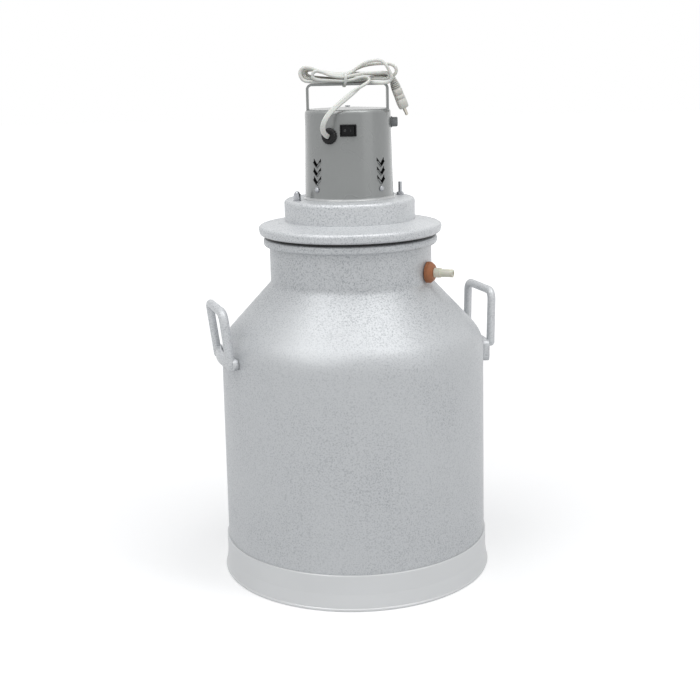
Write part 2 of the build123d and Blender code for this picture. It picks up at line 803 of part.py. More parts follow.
def cord_gland():
    """Round strain relief bush that snaps into the cover wall."""
    wall = cover_r(GLAND_Z)
    inner = sqrt((wall - COVER_SHEET) ** 2 - (GLAND_NECK_R + GLAND_BARB) ** 2) - HOLE_GAP
    seat = cover_r(GLAND_Z - GLAND_R) + FIT
    front = seat + GLAND_PROUD
    body = turned(
        [
            (0, inner - GLAND_INSIDE),
            (GLAND_NECK_R - GLAND_BARB, inner - GLAND_INSIDE),
            (GLAND_NECK_R + GLAND_BARB, inner - GLAND_INSIDE / 3),
            (GLAND_NECK_R + GLAND_BARB, inner),
            (GLAND_NECK_R, inner),
            (GLAND_NECK_R, seat),
            (GLAND_R, seat),
            (GLAND_R, seat + GLAND_PROUD * 0.45),
            (GLAND_R * 0.72, front),
            (GLAND_MOUTH_R, front),
            (GLAND_MOUTH_R - GLAND_MOUTH_DEEP / 2, front - GLAND_MOUTH_DEEP),
            (0, front - GLAND_MOUTH_DEEP),
        ]
    )
    return outward(GLAND_AZIMUTH, GLAND_Z) * body


def switch_front():
    """How far out the front face of the switch bezel lies."""
    return cover_r(SWITCH_Z - SWITCH_HIGH / 2) + FIT + SWITCH_BEZEL


def switch_housing():
    """Bezel and body of the switch, with the well that the rocker tips in."""
    front = switch_front()
    bezel = Pos(0, 0, front - SWITCH_BEZEL) * extrude(
        RectangleRounded(SWITCH_WIDE, SWITCH_HIGH, SWITCH_ROUNDING), SWITCH_BEZEL
    )
    bezel = chamfer(bezel.edges().group_by(Axis.Z)[-1], SWITCH_ROUNDING / 2)
    body = Pos(0, 0, front - SWITCH_BEZEL - SWITCH_BODY_DEEP) * Box(
        SWITCH_BODY_WIDE,
        SWITCH_BODY_HIGH,
        SWITCH_BODY_DEEP,
        align=(Align.CENTER, Align.CENTER, Align.MIN),
    )
    well_wide = ROCKER_WIDE + 2 * ROCKER_GAP + 0.5
    well_high = ROCKER_HIGH + 2 * ROCKER_GAP
    well_deep = ROCKER_DEPTH + ROCKER_SWING_ROOM
    well = Pos(0, 0, front - well_deep) * Box(
        well_wide, well_high, 2 * well_deep, align=(Align.CENTER, Align.CENTER, Align.MIN)
    )
    long = ROCKER_HIGH + 2 * ROCKER_PIN_LONG + 0.4
    pins = Pos(0, 0, front - ROCKER_PIN_DEEP) * Rot(90, 0, 0) * Cylinder(ROCKER_PIN_R + FIT, long)
    return outward(-90, SWITCH_Z) * (bezel + body - well - pins)


def switch_rocker():
    """Rocker at rest with its off end pressed in, on two pins."""
    half = ROCKER_WIDE / 2
    outline = Polyline(
        (-half, -0.4),
        (-half, ROCKER_CREST - 0.4),
        (-half + 0.6, ROCKER_CREST),
        (0, ROCKER_PIN_DEEP),
        (half - 0.6, ROCKER_CREST),
        (half, ROCKER_CREST - 0.4),
        (half, -0.4),
        (half * 0.45, -ROCKER_DEPTH),
        (-half * 0.45, -ROCKER_DEPTH),
        close=True,
    )
    plate = Plane.XZ * make_face(outline)
    block = extrude(plate, ROCKER_HIGH / 2, both=True)
    long = ROCKER_HIGH + 2 * ROCKER_PIN_LONG
    block += Rot(90, 0, 0) * Cylinder(ROCKER_PIN_R, long)
    place = outward(-90, SWITCH_Z) * Pos(0, 0, switch_front() - ROCKER_PIN_DEEP)
    return place * Rot(0, -ROCKER_TILT, 0) * block


def fuse_seat():
    return cover_r(FUSE_Z - FUSE_FLANGE_R) + FIT


def fuse_holder():
    """Panel fuse holder: a flange outside the wall and a tube inside."""
    seat = fuse_seat()
    body = turned(
        [
            (0, seat - FUSE_HOLDER_DEEP),
            (FUSE_HOLDER_R, seat - FUSE_HOLDER_DEEP),
            (FUSE_HOLDER_R, seat),
            (FUSE_FLANGE_R, seat),
            (FUSE_FLANGE_R, seat + FUSE_FLANGE_HIGH * 0.6),
            (FUSE_FLANGE_R - 0.6, seat + FUSE_FLANGE_HIGH),
            (FUSE_BORE_R, seat + FUSE_FLANGE_HIGH),
            (FUSE_BORE_R, seat - FUSE_HOLDER_DEEP + FUSE_FLOOR),
            (0, seat - FUSE_HOLDER_DEEP + FUSE_FLOOR),
        ]
    )
    return outward(0, FUSE_Z) * body


def fuse_nut():
    top = sqrt((cover_r(FUSE_Z) - COVER_SHEET) ** 2 - (FUSE_NUT_FLATS * 0.58) ** 2) - HOLE_GAP
    nut = hexagon_nut(FUSE_NUT_FLATS, top - FUSE_NUT_HIGH, top, FUSE_HOLDER_R + FIT)
    return outward(0, FUSE_Z) * nut


def fuse_cap():
    """Turning cap with a slotted face and a stem that holds the fuse."""
    low = fuse_seat() + FUSE_FLANGE_HIGH + FUSE_CAP_GAP
    high = low + FUSE_CAP_HIGH
    stem = FUSE_BORE_R - FUSE_STEM_GAP
    cap = turned(
        [
            (0, low - FUSE_STEM_LONG),
            (stem, low - FUSE_STEM_LONG),
            (stem, low),
            (FUSE_CAP_R, low),
            (FUSE_CAP_R, high - 1),
            (FUSE_CAP_R - 1, high),
            (0, high),
        ]
    )
    slot = Pos(0, 0, high) * Box(FUSE_SLOT_WIDE, 1.5 * FUSE_CAP_R, 2 * FUSE_SLOT_DEEP)
    return outward(0, FUSE_Z) * (cap - slot)


def motor_screw_azimuths():
    return [90 * n for n in range(4)]


def bolt_azimuths():
    return [45 + 90 * n for n in range(4)]


def lower_end_shield():
    """Cast shield on the platform with the lower bearing seat."""
    low = PLATFORM_TOP_Z + FIT
    seat = BEARING_R + PRESS
    body = turned(
        [
            (SHAFT_HOLE_R, low),
            (SHIELD_FLANGE_R, low),
            (SHIELD_FLANGE_R, low + SHIELD_FLOOR),
            (STATOR_R, low + SHIELD_FLOOR),
            (STATOR_R, STATOR_LOW_Z),
            (SHIELD_CUP_IN, STATOR_LOW_Z),
            (SHIELD_CUP_IN, low + SHIELD_FLOOR),
            (seat + SEAT_WALL, low + SHIELD_FLOOR),
            (seat + SEAT_WALL, BEARING_LOW_Z[0] + BEARING_HIGH),
            (seat, BEARING_LOW_Z[0] + BEARING_HIGH),
            (seat, BEARING_LOW_Z[0] - FIT),
            (SHAFT_HOLE_R, BEARING_LOW_Z[0] - FIT),
        ]
    )
    for azimuth in bolt_azimuths():
        body -= polar(BOLT_CIRCLE_R, azimuth, STATOR_LOW_Z) * Cylinder(BOLT_R + FIT, DRILL)
    for azimuth in motor_screw_azimuths():
        body -= polar(MOTOR_SCREW_CIRCLE_R, azimuth, low) * Cylinder(MOTOR_SCREW_R + FIT, DRILL)
    return body


def upper_end_shield():
    """Cast shield on top of the stator with the upper bearing seat."""
    low = STATOR_LOW_Z + STATOR_HIGH
    high = low + SHIELD_UPPER_HIGH
    seat = BEARING_R + PRESS
    bearing_top = BEARING_LOW_Z[1] + BEARING_HIGH + FIT
    body = turned(
        [
            (SHIELD_CUP_IN, low),
            (STATOR_R, low),
            (STATOR_R, high),
            (SHAFT_HOLE_R, high),
            (SHAFT_HOLE_R, bearing_top),
            (seat, bearing_top),
            (seat, BEARING_LOW_Z[1]),
            (seat + SEAT_WALL, BEARING_LOW_Z[1]),
            (seat + SEAT_WALL, high - SHIELD_FLOOR),
            (SHIELD_CUP_IN, high - SHIELD_FLOOR),
        ]
    )
    for azimuth in bolt_azimuths():
        body -= polar(BOLT_CIRCLE_R, azimuth, high) * Cylinder(BOLT_R + FIT, 3 * DRILL)
    return body


def stator_core():
    body = ring(STATOR_R, STATOR_BORE_R, STATOR_LOW_Z, STATOR_LOW_Z + STATOR_HIGH)
    for azimuth in bolt_azimuths():
        body -= polar(BOLT_CIRCLE_R, azimuth, STATOR_LOW_Z) * Cylinder(BOLT_R + FIT, 3 * STATOR_HIGH)
    return body


def stator_windings():
    """Coil heads below and above the stator core."""
    group = []
    high = STATOR_LOW_Z + STATOR_HIGH
    for low in (STATOR_LOW_Z - WINDING_HIGH, high):
        top = low + WINDING_HIGH
        outline = [(WINDING_IN, low), (WINDING_OUT, low), (WINDING_OUT, top), (WINDING_IN, top)]
        group.append(turned(outline, [WINDING_ROUNDING] * 4))
    return Compound(children=group)


def through_bolts():
    """Bolts through both end shields and the stator."""
    high = STATOR_LOW_Z + STATOR_HIGH + SHIELD_UPPER_HIGH
    low = STATOR_LOW_Z - BOLT_INTO_SHIELD
    group = []
    for azimuth in bolt_azimuths():
        bolt = rod(BOLT_R, low, high + FIT)
        bolt += rod(BOLT_HEAD_R, high + FIT, high + FIT + BOLT_HEAD_HIGH)
        group.append(polar(BOLT_CIRCLE_R, azimuth, 0) * bolt)
    return Compound(children=group)


def motor_screws():
    """Screws up through the platform into the lower shield."""
    under = PLATFORM_TOP_Z - PLATFORM_SHEET - FIT
    group = []
    for azimuth in motor_screw_azimuths():
        screw = rod(MOTOR_SCREW_R, under, PLATFORM_TOP_Z + SHIELD_FLOOR - 0.4)
        screw += hexagon(MOTOR_SCREW_HEAD_FLATS, under - MOTOR_SCREW_HEAD_HIGH, under)
        group.append(polar(MOTOR_SCREW_CIRCLE_R, azimuth, 0) * screw)
    return Compound(children=group)


def ball_track(low):
    """The groove that a bearing's balls run in."""
    pitch = (BEARING_OUTER_IN + BEARING_INNER_OUT) / 2
    middle = low + BEARING_HIGH / 2
    return revolve(Plane.XZ * Pos(pitch, middle) * Circle(BALL_R + FIT), Axis.Z)


def bearing_outer_races():
    group = []
    for low in BEARING_LOW_Z:
        race = ring(BEARING_R, BEARING_OUTER_IN, low, low + BEARING_HIGH - FIT)
        group.append(race - ball_track(low))
    return Compound(children=group)


def bearing_inner_races():
    group = []
    for low in BEARING_LOW_Z:
        race = ring(BEARING_INNER_OUT, SHAFT_R + PRESS, low, low + BEARING_HIGH - FIT)
        group.append(race - ball_track(low))
    return Compound(children=group)


def bearing_balls():
    pitch = (BEARING_OUTER_IN + BEARING_INNER_OUT) / 2
    group = []
    for low in BEARING_LOW_Z:
        for n in range(BALLS):
            spot = polar(pitch, 360 * n / BALLS, low + BEARING_HIGH / 2)
            group.append(spot * Sphere(BALL_R))
    return Compound(children=group)


def rotor_core():
    outer = STATOR_BORE_R - ROTOR_GAP
    return ring(outer, SHAFT_R + PRESS, STATOR_LOW_Z, STATOR_LOW_Z + STATOR_HIGH)


def rotor_end_rings():
    outer = STATOR_BORE_R - ROTOR_GAP - 0.5
    high = STATOR_LOW_Z + STATOR_HIGH
    lower = ring(outer, END_RING_IN, STATOR_LOW_Z - END_RING_HIGH, STATOR_LOW_Z)
    upper = ring(outer, END_RING_IN, high, high + END_RING_HIGH)
    return Compound(children=[lower, upper])


def motor_shaft():
    shaft = rod(SHAFT_R, SHAFT_JOINT_Z + SHAFT_JOINT_GAP / 2, MOTOR_SHAFT_TOP_Z)
    return chamfer(shaft.edges().group_by(Axis.Z)[-1], 0.8)


def cooling_fan():
    """Hub with straight radial blades on the shaft above the motor."""
    high = FAN_LOW_Z + FAN_HIGH
    fan = ring(FAN_HUB_R, SHAFT_R + PRESS, FAN_LOW_Z, high)
    fan += ring(FAN_R - 3, FAN_HUB_R - 1, FAN_LOW_Z, FAN_LOW_Z + FAN_BLADE)
    blade = Pos(FAN_HUB_R - 1, 0, FAN_LOW_Z) * Box(
        FAN_R - FAN_HUB_R + 1, FAN_BLADE, FAN_HIGH, align=(Align.MIN, Align.CENTER, Align.MIN)
    )
    for n in range(FAN_BLADES):
        fan += Rot(0, 0, 360 * n / FAN_BLADES) * blade
    return fan


def run_capacitor():
    can = Cylinder(CAPACITOR_R, CAPACITOR_LONG)
    can = fillet(can.edges().filter_by(GeomType.CIRCLE), CAPACITOR_ROUNDING)
    return Pos(0, CAPACITOR_Y, CAPACITOR_Z) * Rot(0, 90, 0) * can


def capacitor_clip():
    """Band round the capacitor with a rivet through the cover's roof."""
    inner = CAPACITOR_R + HOLE_GAP
    outer = inner + CLIP_SHEET
    band = Cylinder(outer, CLIP_WIDE) - Cylinder(inner, CLIP_WIDE)
    band = Pos(0, CAPACITOR_Y, CAPACITOR_Z) * Rot(0, 90, 0) * band
    roof = roof_under(CAPACITOR_Y + CLIP_PAD_R) - HOLE_GAP
    low = CAPACITOR_Z + outer - CLIP_SHEET / 2
    seat = COVER_TOP_Z + FIT
    rivet = rod(CLIP_PAD_R, low, roof) + rod(CLIP_RIVET_R, low, seat + FIT)
    rivet += rod(CLIP_RIVET_HEAD_R, seat, seat + CLIP_RIVET_HEAD_HIGH)
    return band + Pos(0, CAPACITOR_Y, 0) * rivet


def roof_under(radius):
    """The height of the cover roof's underside at a radius."""
    share = (radius - COVER_CROWN_R) / (COVER_HIGH_R - COVER_CROWN_R)
    return COVER_TOP_Z + (COVER_HIGH_Z - COVER_TOP_Z) * share - COVER_SHEET


def shaft_coupling():
    """Sleeve that joins the motor shaft and the drive shaft, with set screw holes."""
    half = COUPLING_LONG / 2
    sleeve = ring(COUPLING_R, SHAFT_R + PRESS, SHAFT_JOINT_Z - half, SHAFT_JOINT_Z + half)
    for z in set_screw_heights():
        sleeve -= Pos(COUPLING_R, 0, z) * Rot(0, 90, 0) * Cylinder(SET_SCREW_R + FIT, 12)
    return sleeve


def set_screw_heights():
    return (SHAFT_JOINT_Z - COUPLING_LONG / 4, SHAFT_JOINT_Z + COUPLING_LONG / 4)


def coupling_screws():
    start = SHAFT_R + FIT
    long = COUPLING_R - start - 0.3
    group = []
    for z in set_screw_heights():
        screw = Cylinder(SET_SCREW_R, long)
        group.append(Pos(start + long / 2, 0, z) * Rot(0, 90, 0) * screw)
    return Compound(children=group)


def drive_shaft():
    shaft = rod(SHAFT_R, SHAFT_END_Z, SHAFT_JOINT_Z - SHAFT_JOINT_GAP / 2)
    return chamfer(shaft.edges().group_by(Axis.Z)[0], 1.0)


def shaft_bush():
    """Flanged bush in the middle of the lid, open below for the seal."""
    low = LID_TOP_Z + FIT
    seal = SEAL_R + FIT
    bore = SHAFT_R + FIT
    step = BUSH_LOW_Z + SEAL_HIGH + SEAL_DEEP
    bush = turned(
        [
            (seal, BUSH_LOW_Z),
            (BUSH_R, BUSH_LOW_Z),
            (BUSH_R, low),
            (BUSH_FLANGE_R, low),
            (BUSH_FLANGE_R, low + BUSH_FLANGE_HIGH),
            (bore, low + BUSH_FLANGE_HIGH),
            (bore, step),
            (seal, step),
        ]
    )
    for n in range(BUSH_SCREWS):
        spot = polar(BUSH_SCREW_CIRCLE_R, 360 * n / BUSH_SCREWS, low)
        bush -= spot * Cylinder(BUSH_SCREW_R + FIT, DRILL)
    return bush


def shaft_seal():
    top = BUSH_LOW_Z + SEAL_HIGH + SEAL_DEEP - FIT
    low = top - SEAL_HIGH
    bore = SHAFT_R + FIT
    return turned(
        [
            (bore, low + 2),
            (bore + SEAL_LIP, low),
            (SEAL_R, low),
            (SEAL_R, top),
            (bore + SEAL_LIP, top),
            (bore + SEAL_LIP, low + 4),
            (bore, low + 4),
        ]
    )


def bush_screws():
    seat = LID_TOP_Z + BUSH_FLANGE_HIGH + 2 * FIT
    group = []
    for n in range(BUSH_SCREWS):
        screw = rod(BUSH_SCREW_R, seat - BUSH_SCREW_LONG, seat)
        screw += rod(BUSH_SCREW_HEAD_R, seat, seat + BUSH_SCREW_HEAD_HIGH)
        group.append(polar(BUSH_SCREW_CIRCLE_R, 360 * n / BUSH_SCREWS, 0) * screw)
    return Compound(children=group)


def impeller():
    """Hub with pitched, tapered blades."""
    low = STIRRER_Z - STIRRER_HUB_HIGH / 2
    hub = ring(STIRRER_HUB_R, SHAFT_R + PRESS, low, low + STIRRER_HUB_HIGH)
    start = STIRRER_HUB_R - 3
    outline = Polyline(
        (start, -BLADE_HIGH * 0.36),
        (STIRRER_R - BLADE_CORNER, -BLADE_HIGH / 2),
        (STIRRER_R, -BLADE_HIGH / 2 + BLADE_CORNER),
        (STIRRER_R, BLADE_HIGH / 2 - BLADE_CORNER),
        (STIRRER_R - BLADE_CORNER, BLADE_HIGH / 2),
        (start, BLADE_HIGH * 0.36),
        close=True,
    )
    blade = extrude(Plane.XZ * make_face(outline), BLADE_THICK / 2, both=True)
    blade = Pos(0, 0, STIRRER_Z) * Rot(BLADE_PITCH, 0, 0) * blade
    wheel = hub
    for n in range(BLADES):
        wheel += Rot(0, 0, 360 * n / BLADES) * blade
    return wheel - rod(SHAFT_R + PRESS, low - DRILL, low + STIRRER_HUB_HIGH + DRILL)


def impeller_nut():
    top = STIRRER_Z - STIRRER_HUB_HIGH / 2 - FIT
    return hexagon_nut(STIRRER_NUT_FLATS, top - STIRRER_NUT_HIGH, top, SHAFT_R + PRESS)


def corner_radii(points):
    """The largest arc that each corner of a route has room for."""
    spots = [Vector(*p) for p in points]
    radii = []
    for before, here, after in zip(spots, spots[1:], spots[2:]):
        first = here - before
        second = after - here
        turn = radians(first.get_angle(second))
        radii.append(0.45 * min(first.length, second.length) / tan(turn / 2))
    return radii


def cord_lead():
    """The cord's free stretch from the gland up to the hank."""
    radii = corner_radii(LEAD)
    route = FilletPolyline(*LEAD, radius=radii)
    tube = sweep(Plane(route @ 0, z_dir=route % 0) * Circle(CORD_R), route)
    print("lead radii", [round(r, 1) for r in radii])
    print("lead length", round(route.length, 1))
    print("lead volume share", round(tube.volume / (pi * CORD_R**2 * route.length), 4))
    return tube


def cord_hank():
    """Outer shape of the hank that lies on the handle."""
    face = make_face(FilletPolyline(*HANK_OUTLINE, radius=HANK_ROUNDING, close=True))
    deep = HANK_BACK_Y - HANK_FRONT_Y
    return Pos(0, HANK_BACK_Y, 0) * extrude(Plane.XZ * face, deep)


def cord_tie():
    """Tie round the hank's waist and the handle bar."""
    low = STRAP_TOP_Z - STRAP_THICK - TIE_GAP
    middle_y = (HANK_FRONT_Y + HANK_BACK_Y) / 2
    wide = HANK_BACK_Y - HANK_FRONT_Y + 2 * TIE_GAP
    high = TIE_TOP_Z - low
    inner = Rectangle(wide, high)
    outer = Rectangle(wide + 2 * TIE_THICK, high + 2 * TIE_THICK)
    outer = fillet(outer.vertices(), TIE_THICK)
    loop = extrude(outer - inner, TIE_WIDE / 2, both=True)
    middle_z = low + high / 2
    frame = Plane(origin=(TIE_X, middle_y, middle_z), x_dir=(0, 1, 0), z_dir=(1, 0, 0))
    return frame * loop


def plug_frame():
    """A frame at the plug's start, local Z towards the pins, local X across its width."""
    return Plane(origin=PLUG_START, x_dir=plug_width_direction(), z_dir=PLUG_AIM)


def plug_width_direction():
    aim = Vector(*PLUG_AIM).normalized()
    side = Vector(0, 1, 0)
    return side - aim * side.dot(aim)


def plug_body():
    """Moulded plug: ribbed strain relief, then a body that widens to the face."""
    relief = Pos(0, 0, PLUG_RELIEF_LONG / 2) * Cone(
        PLUG_RELIEF_R, PLUG_RELIEF_END_R, PLUG_RELIEF_LONG
    )
    start = Pos(0, 0, PLUG_RELIEF_LONG - 0.5) * RectangleRounded(
        PLUG_WIDE / 2, PLUG_WAIST_THICK, PLUG_ROUNDING
    )
    waist = Pos(0, 0, PLUG_RELIEF_LONG + PLUG_LONG * 0.6) * RectangleRounded(
        PLUG_WIDE * 0.86, PLUG_WAIST_THICK, PLUG_ROUNDING
    )
    face = Pos(0, 0, PLUG_RELIEF_LONG + PLUG_LONG) * RectangleRounded(
        PLUG_WIDE, PLUG_THICK, PLUG_ROUNDING
    )
    return plug_frame() * (relief + loft([start, waist, face], ruled=True))


def plug_pins():
    """Two round pins, seated in the plug's face."""
    face = PLUG_RELIEF_LONG + PLUG_LONG + FIT
    group = []
    for side in (-1, 1):
        pin = Pos(side * PIN_SPACING / 2, 0, face + PIN_LONG / 2) * Cylinder(PIN_R, PIN_LONG)
        pin = fillet(pin.edges().group_by(Axis.Z)[-1], PIN_ROUNDING)
        group.append(plug_frame() * pin)
    return Compound(children=group)


NODES = {
    "can_wall": can_wall,
    "can_shoulder": can_shoulder,
    "can_neck": can_neck,
    "can_bottom": can_bottom,
    "foot_ring": foot_ring,
    "can_handle_left": can_handle_left,
    "can_handle_right": can_handle_right,
    "nozzle_grommet": nozzle_grommet,
    "nozzle": nozzle,
    "nozzle_locknut": nozzle_locknut,
    "lid_plate": lid_plate,
    "lid_skirt": lid_skirt,
    "lid_gasket": lid_gasket,
    "motor_platform": motor_platform,
    "clamp_studs": clamp_studs,
    "clamp_washers": clamp_washers,
    "clamp_nuts": clamp_nuts,
    "motor_cover": motor_cover,
    "cover_brackets": cover_brackets,
    "cover_screws": cover_screws,
    "cover_handle": cover_handle,
    "cord_gland": cord_gland,
    "switch_housing": switch_housing,
    "switch_rocker": switch_rocker,
    "fuse_holder": fuse_holder,
    "fuse_nut": fuse_nut,
    "fuse_cap": fuse_cap,
    "lower_end_shield": lower_end_shield,
    "upper_end_shield": upper_end_shield,
    "stator_core": stator_core,
    "stator_windings": stator_windings,
    "through_bolts": through_bolts,
    "motor_screws": motor_screws,
    "bearing_outer_races": bearing_outer_races,
    "bearing_inner_races": bearing_inner_races,
    "bearing_balls": bearing_balls,
    "rotor_core": rotor_core,
    "rotor_end_rings": rotor_end_rings,
    "motor_shaft": motor_shaft,
    "cooling_fan": cooling_fan,
    "run_capacitor": run_capacitor,
    "capacitor_clip": capacitor_clip,
    "shaft_coupling": shaft_coupling,
    "coupling_screws": coupling_screws,
    "drive_shaft": drive_shaft,
    "shaft_bush": shaft_bush,
    "shaft_seal": shaft_seal,
    "bush_screws": bush_screws,
    "impeller": impeller,
    "impeller_nut": impeller_nut,
    "cord_lead": cord_lead,
    "cord_hank": cord_hank,
    "cord_tie": cord_tie,
    "plug_body": plug_body,
    "plug_pins": plug_pins,
}

os.makedirs("parts", exist_ok=True)
for name, make in NODES.items():
    export_step(make(), f"parts/{name}.step")
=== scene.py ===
import math

import bpy
from mathutils import Matrix, Vector


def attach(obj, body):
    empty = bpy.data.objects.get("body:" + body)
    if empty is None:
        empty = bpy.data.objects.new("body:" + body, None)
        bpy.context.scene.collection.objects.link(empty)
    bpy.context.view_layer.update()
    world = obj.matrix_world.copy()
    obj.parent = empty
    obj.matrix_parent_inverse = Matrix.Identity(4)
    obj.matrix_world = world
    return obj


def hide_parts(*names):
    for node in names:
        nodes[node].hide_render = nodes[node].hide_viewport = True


# Electric butter churn. The scene is in metres with +Z up, in the same frame as the solids.
# Named lengths and places are in millimetres and angles in degrees, unless their comment says otherwise.

MM = 0.001

# The camera stands in metres, looks down by an angle and is turned a little about its own line of sight.
CAMERA_AT = (-0.00364, -1.5948, 0.67305)
CAMERA_DOWN = 13.26
CAMERA_ROLL = -1.23
CAMERA_LENS = 62.33
CAMERA_SENSOR = 36

# The motor cover is a cone: its outer radius at two heights.
COVER_LOW_R = 58.05
COVER_LOW_Z = 504.25
COVER_HIGH_R = 55.3
COVER_HIGH_Z = 617.5
COVER_SHOULDER_Z = 609.0
FLANGE_TOP_Z = 507.2
# How far out of the cover's wall, in metres, its inside with painted shade ends, and its painted highlight
# on what stands proud begins and is full.
COVER_INSIDE_TO = -0.0003
COVER_PAINTED_HIGHLIGHT_FROM = 0.0011
COVER_PAINTED_HIGHLIGHT_FULL = 0.0019
# The strength of the painted highlight along the cover's bottom flange.
FLANGE_PAINTED_HIGHLIGHT = 0.7

# The louvres: V-shaped mouths in rows, which climb by the slope to each side of their middle. Each gets
# painted shade between two limits about its row's level, and on its lip, which is what faces up by more
# than a limit.
LOUVRES_FROM_Z = 512.0
LIP_FACES_UP = 0.4
LOUVRE_LOWEST_Z = 524.6
LOUVRE_PITCH = 11.0
LOUVRE_ROWS = 3
LOUVRE_SLOPE = 1.156
LOUVRE_HALF_WIDTH = 6.6
LOUVRE_SHADE_LOW = -1.0
LOUVRE_SHADE_HIGH = 3.6

# The cord gland: its seat on the cover, its outline as radius and distance from the seat, and its ribs.
# A rib rises between two cosines of its turn, and stands out and forward by the slant's share.
GLAND_AZIMUTH = -114.8
GLAND_Z = 585.8
GLAND_SEAT = 56.36
GLAND_PROFILE = ((9.95, 0.3), (9.95, 2.2), (8.5, 3.7), (7.3, 4.85))
GLAND_RIBS = 18
GLAND_STEPS_PER_RIB = 8
GLAND_SKIN = 0.1
GLAND_RIB_PROUD = 0.45
GLAND_RIB_FROM = 0.15
GLAND_RIB_TO = 0.65
GLAND_SLANT = 0.7

# The switch's rocker and the O and I on its faces. The O's width and the I's eased edges are shares.
ROCKER_PIVOT = (0.0, -56.539, 592.5)
ROCKER_TILT = 11.0
ROCKER_MIDDLE = 1.6
ROCKER_SLOPE = 0.189
MARK_OUT = 3.6
MARK_HALF_HIGH = 1.6
MARK_NARROW = 0.72
MARK_LINE = 0.38
MARK_PROUD = 0.12
MARK_EDGE_PROUD = 0.6
MARK_EDGE_WIDE = 0.7
MARK_EDGE_HIGH = 0.94
OVAL_POINTS = 32

# Each can handle: its turn about the can, its two legs and its foot. A leg has its place along the
# handle, how far out its foot and its top are, and half its thickness outward and along the handle.
# A foot has its lowest and highest level and its outer radius.
CAN_HANDLES = {
    "left": (
        197.5,
        ((-40.0, 176.7, 185.1, 5.3, 5.3), (46.0, 177.2, 185.1, 6.2, 6.0)),
        (296.0, 311.0, 183.9),
    ),
    "right": (
        17.5,
        ((-40.0, 184.8, 186.2, 5.5, 5.5), (40.0, 184.8, 186.2, 5.5, 5.5)),
        (277.0, 305.0, 185.4),
    ),
}
HANDLE_END_Z = 300.0
HANDLE_BAR_Z = 371.0
HANDLE_ROUNDING = 26.0
HANDLE_FINENESS = 14
HANDLE_POINTS = 24
# The rounded ends of a handle's bar: rings that shrink by a share as they go further out.
HANDLE_END_RINGS = ((0.85, 2.6), (0.5, 4.4), (0.12, 5.0))
# The feet: half their length, their rounding, and how near an edge's middle point comes to its corner.
FOOT_HALF = 54.0
FOOT_CORNER = 5.0
FOOT_INNER_R = 175.9
FOOT_EDGE = 1.8
FOOT_EDGE_MIDDLE = 0.29
FOOT_STEPS = 48

# The flat cord: its section, and the stretch of its length over which it turns from facing the front
# to lying level.
CORD_WIDE = 6.5
CORD_THICK = 4.1
CORD_GROOVE = 0.3
CORD_ARC_STEPS = 8
TWIST_FROM = 80.0
TWIST_TO = 118.0
TWIST_SMOOTHINGS = 6

# The plug starts with ribs that grow towards its body. Each rib has four rings: their place in the
# rib's step, their half width and half thickness by the rib's radius, and whether the slots cut them.
PLUG_START = (57.6, -6.0, 655.4)
PLUG_AIM = (0.36, 0.22, -0.905)
PLUG_POINTS = 40
PLUG_RIBS = 6
PLUG_RIB_STEP = 2.3
PLUG_RIB_R = 4.0
PLUG_RIB_GROWTH = 0.4
PLUG_RIB_POWER = 2.2
PLUG_RIB_RINGS = (
    (0.0, 1.1, 1.02, False), (0.42, 1.14, 1.06, False), (0.5, 0.86, 0.8, True), (0.92, 0.86, 0.8, True),
)
# A slot in the relief: half its reach about the axis in degrees, its depth as a share, its soft edge.
PLUG_SLOT_REACH = 52
PLUG_SLOT_DEPTH = 0.22
PLUG_SLOT_EDGE = 0.7
# The plug's body: distance from its start, half width, half thickness and squareness of each ring.
PLUG_BODY = (
    (13.9, 6.4, 6.1, 2.4), (14.6, 8.4, 6.3, 2.8), (17.0, 9.7, 6.4, 3.0), (21.0, 11.4, 6.5, 3.2),
    (21.4, 11.0, 6.2, 3.2), (22.4, 11.1, 6.2, 3.2), (22.8, 12.2, 6.5, 3.2),
    (26.0, 13.8, 6.5, 3.4), (26.4, 13.4, 6.2, 3.4), (27.4, 13.9, 6.2, 3.4), (27.8, 14.7, 6.6, 3.4),
    (34.0, 16.7, 6.75, 3.6), (37.6, 17.4, 6.85, 3.6), (38.6, 17.1, 6.7, 3.6), (39.0, 16.3, 6.0, 3.6),
)

# The tie: its place on the handle, its way round the turns in Y and Z, and its section. It leans to
# and fro along the handle by a sine that starts at an angle in radians.
TIE_X = -3.0
TIE_LOOP = (
    (-15.6, 652.0), (-15.9, 656.0), (-14.2, 660.2), (-8.0, 662.0), (0.0, 661.6), (8.0, 661.0),
    (12.2, 658.0), (12.6, 652.0), (12.0, 647.0), (9.0, 645.6), (0.0, 645.3), (-9.5, 645.4),
    (-12.4, 646.6), (-14.4, 649.0),
)
TIE_MIDDLE = (-1.5, 653.5)
TIE_STEPS = 5
TIE_LEAN = 1.4
TIE_LEAN_START = 0.6
TIE_SECTION = (
    (-1.9, 0.0), (-1.5, 0.6), (0.0, 0.75), (1.5, 0.6),
    (1.9, 0.0), (1.5, -0.45), (0.0, -0.5), (-1.5, -0.45),
)

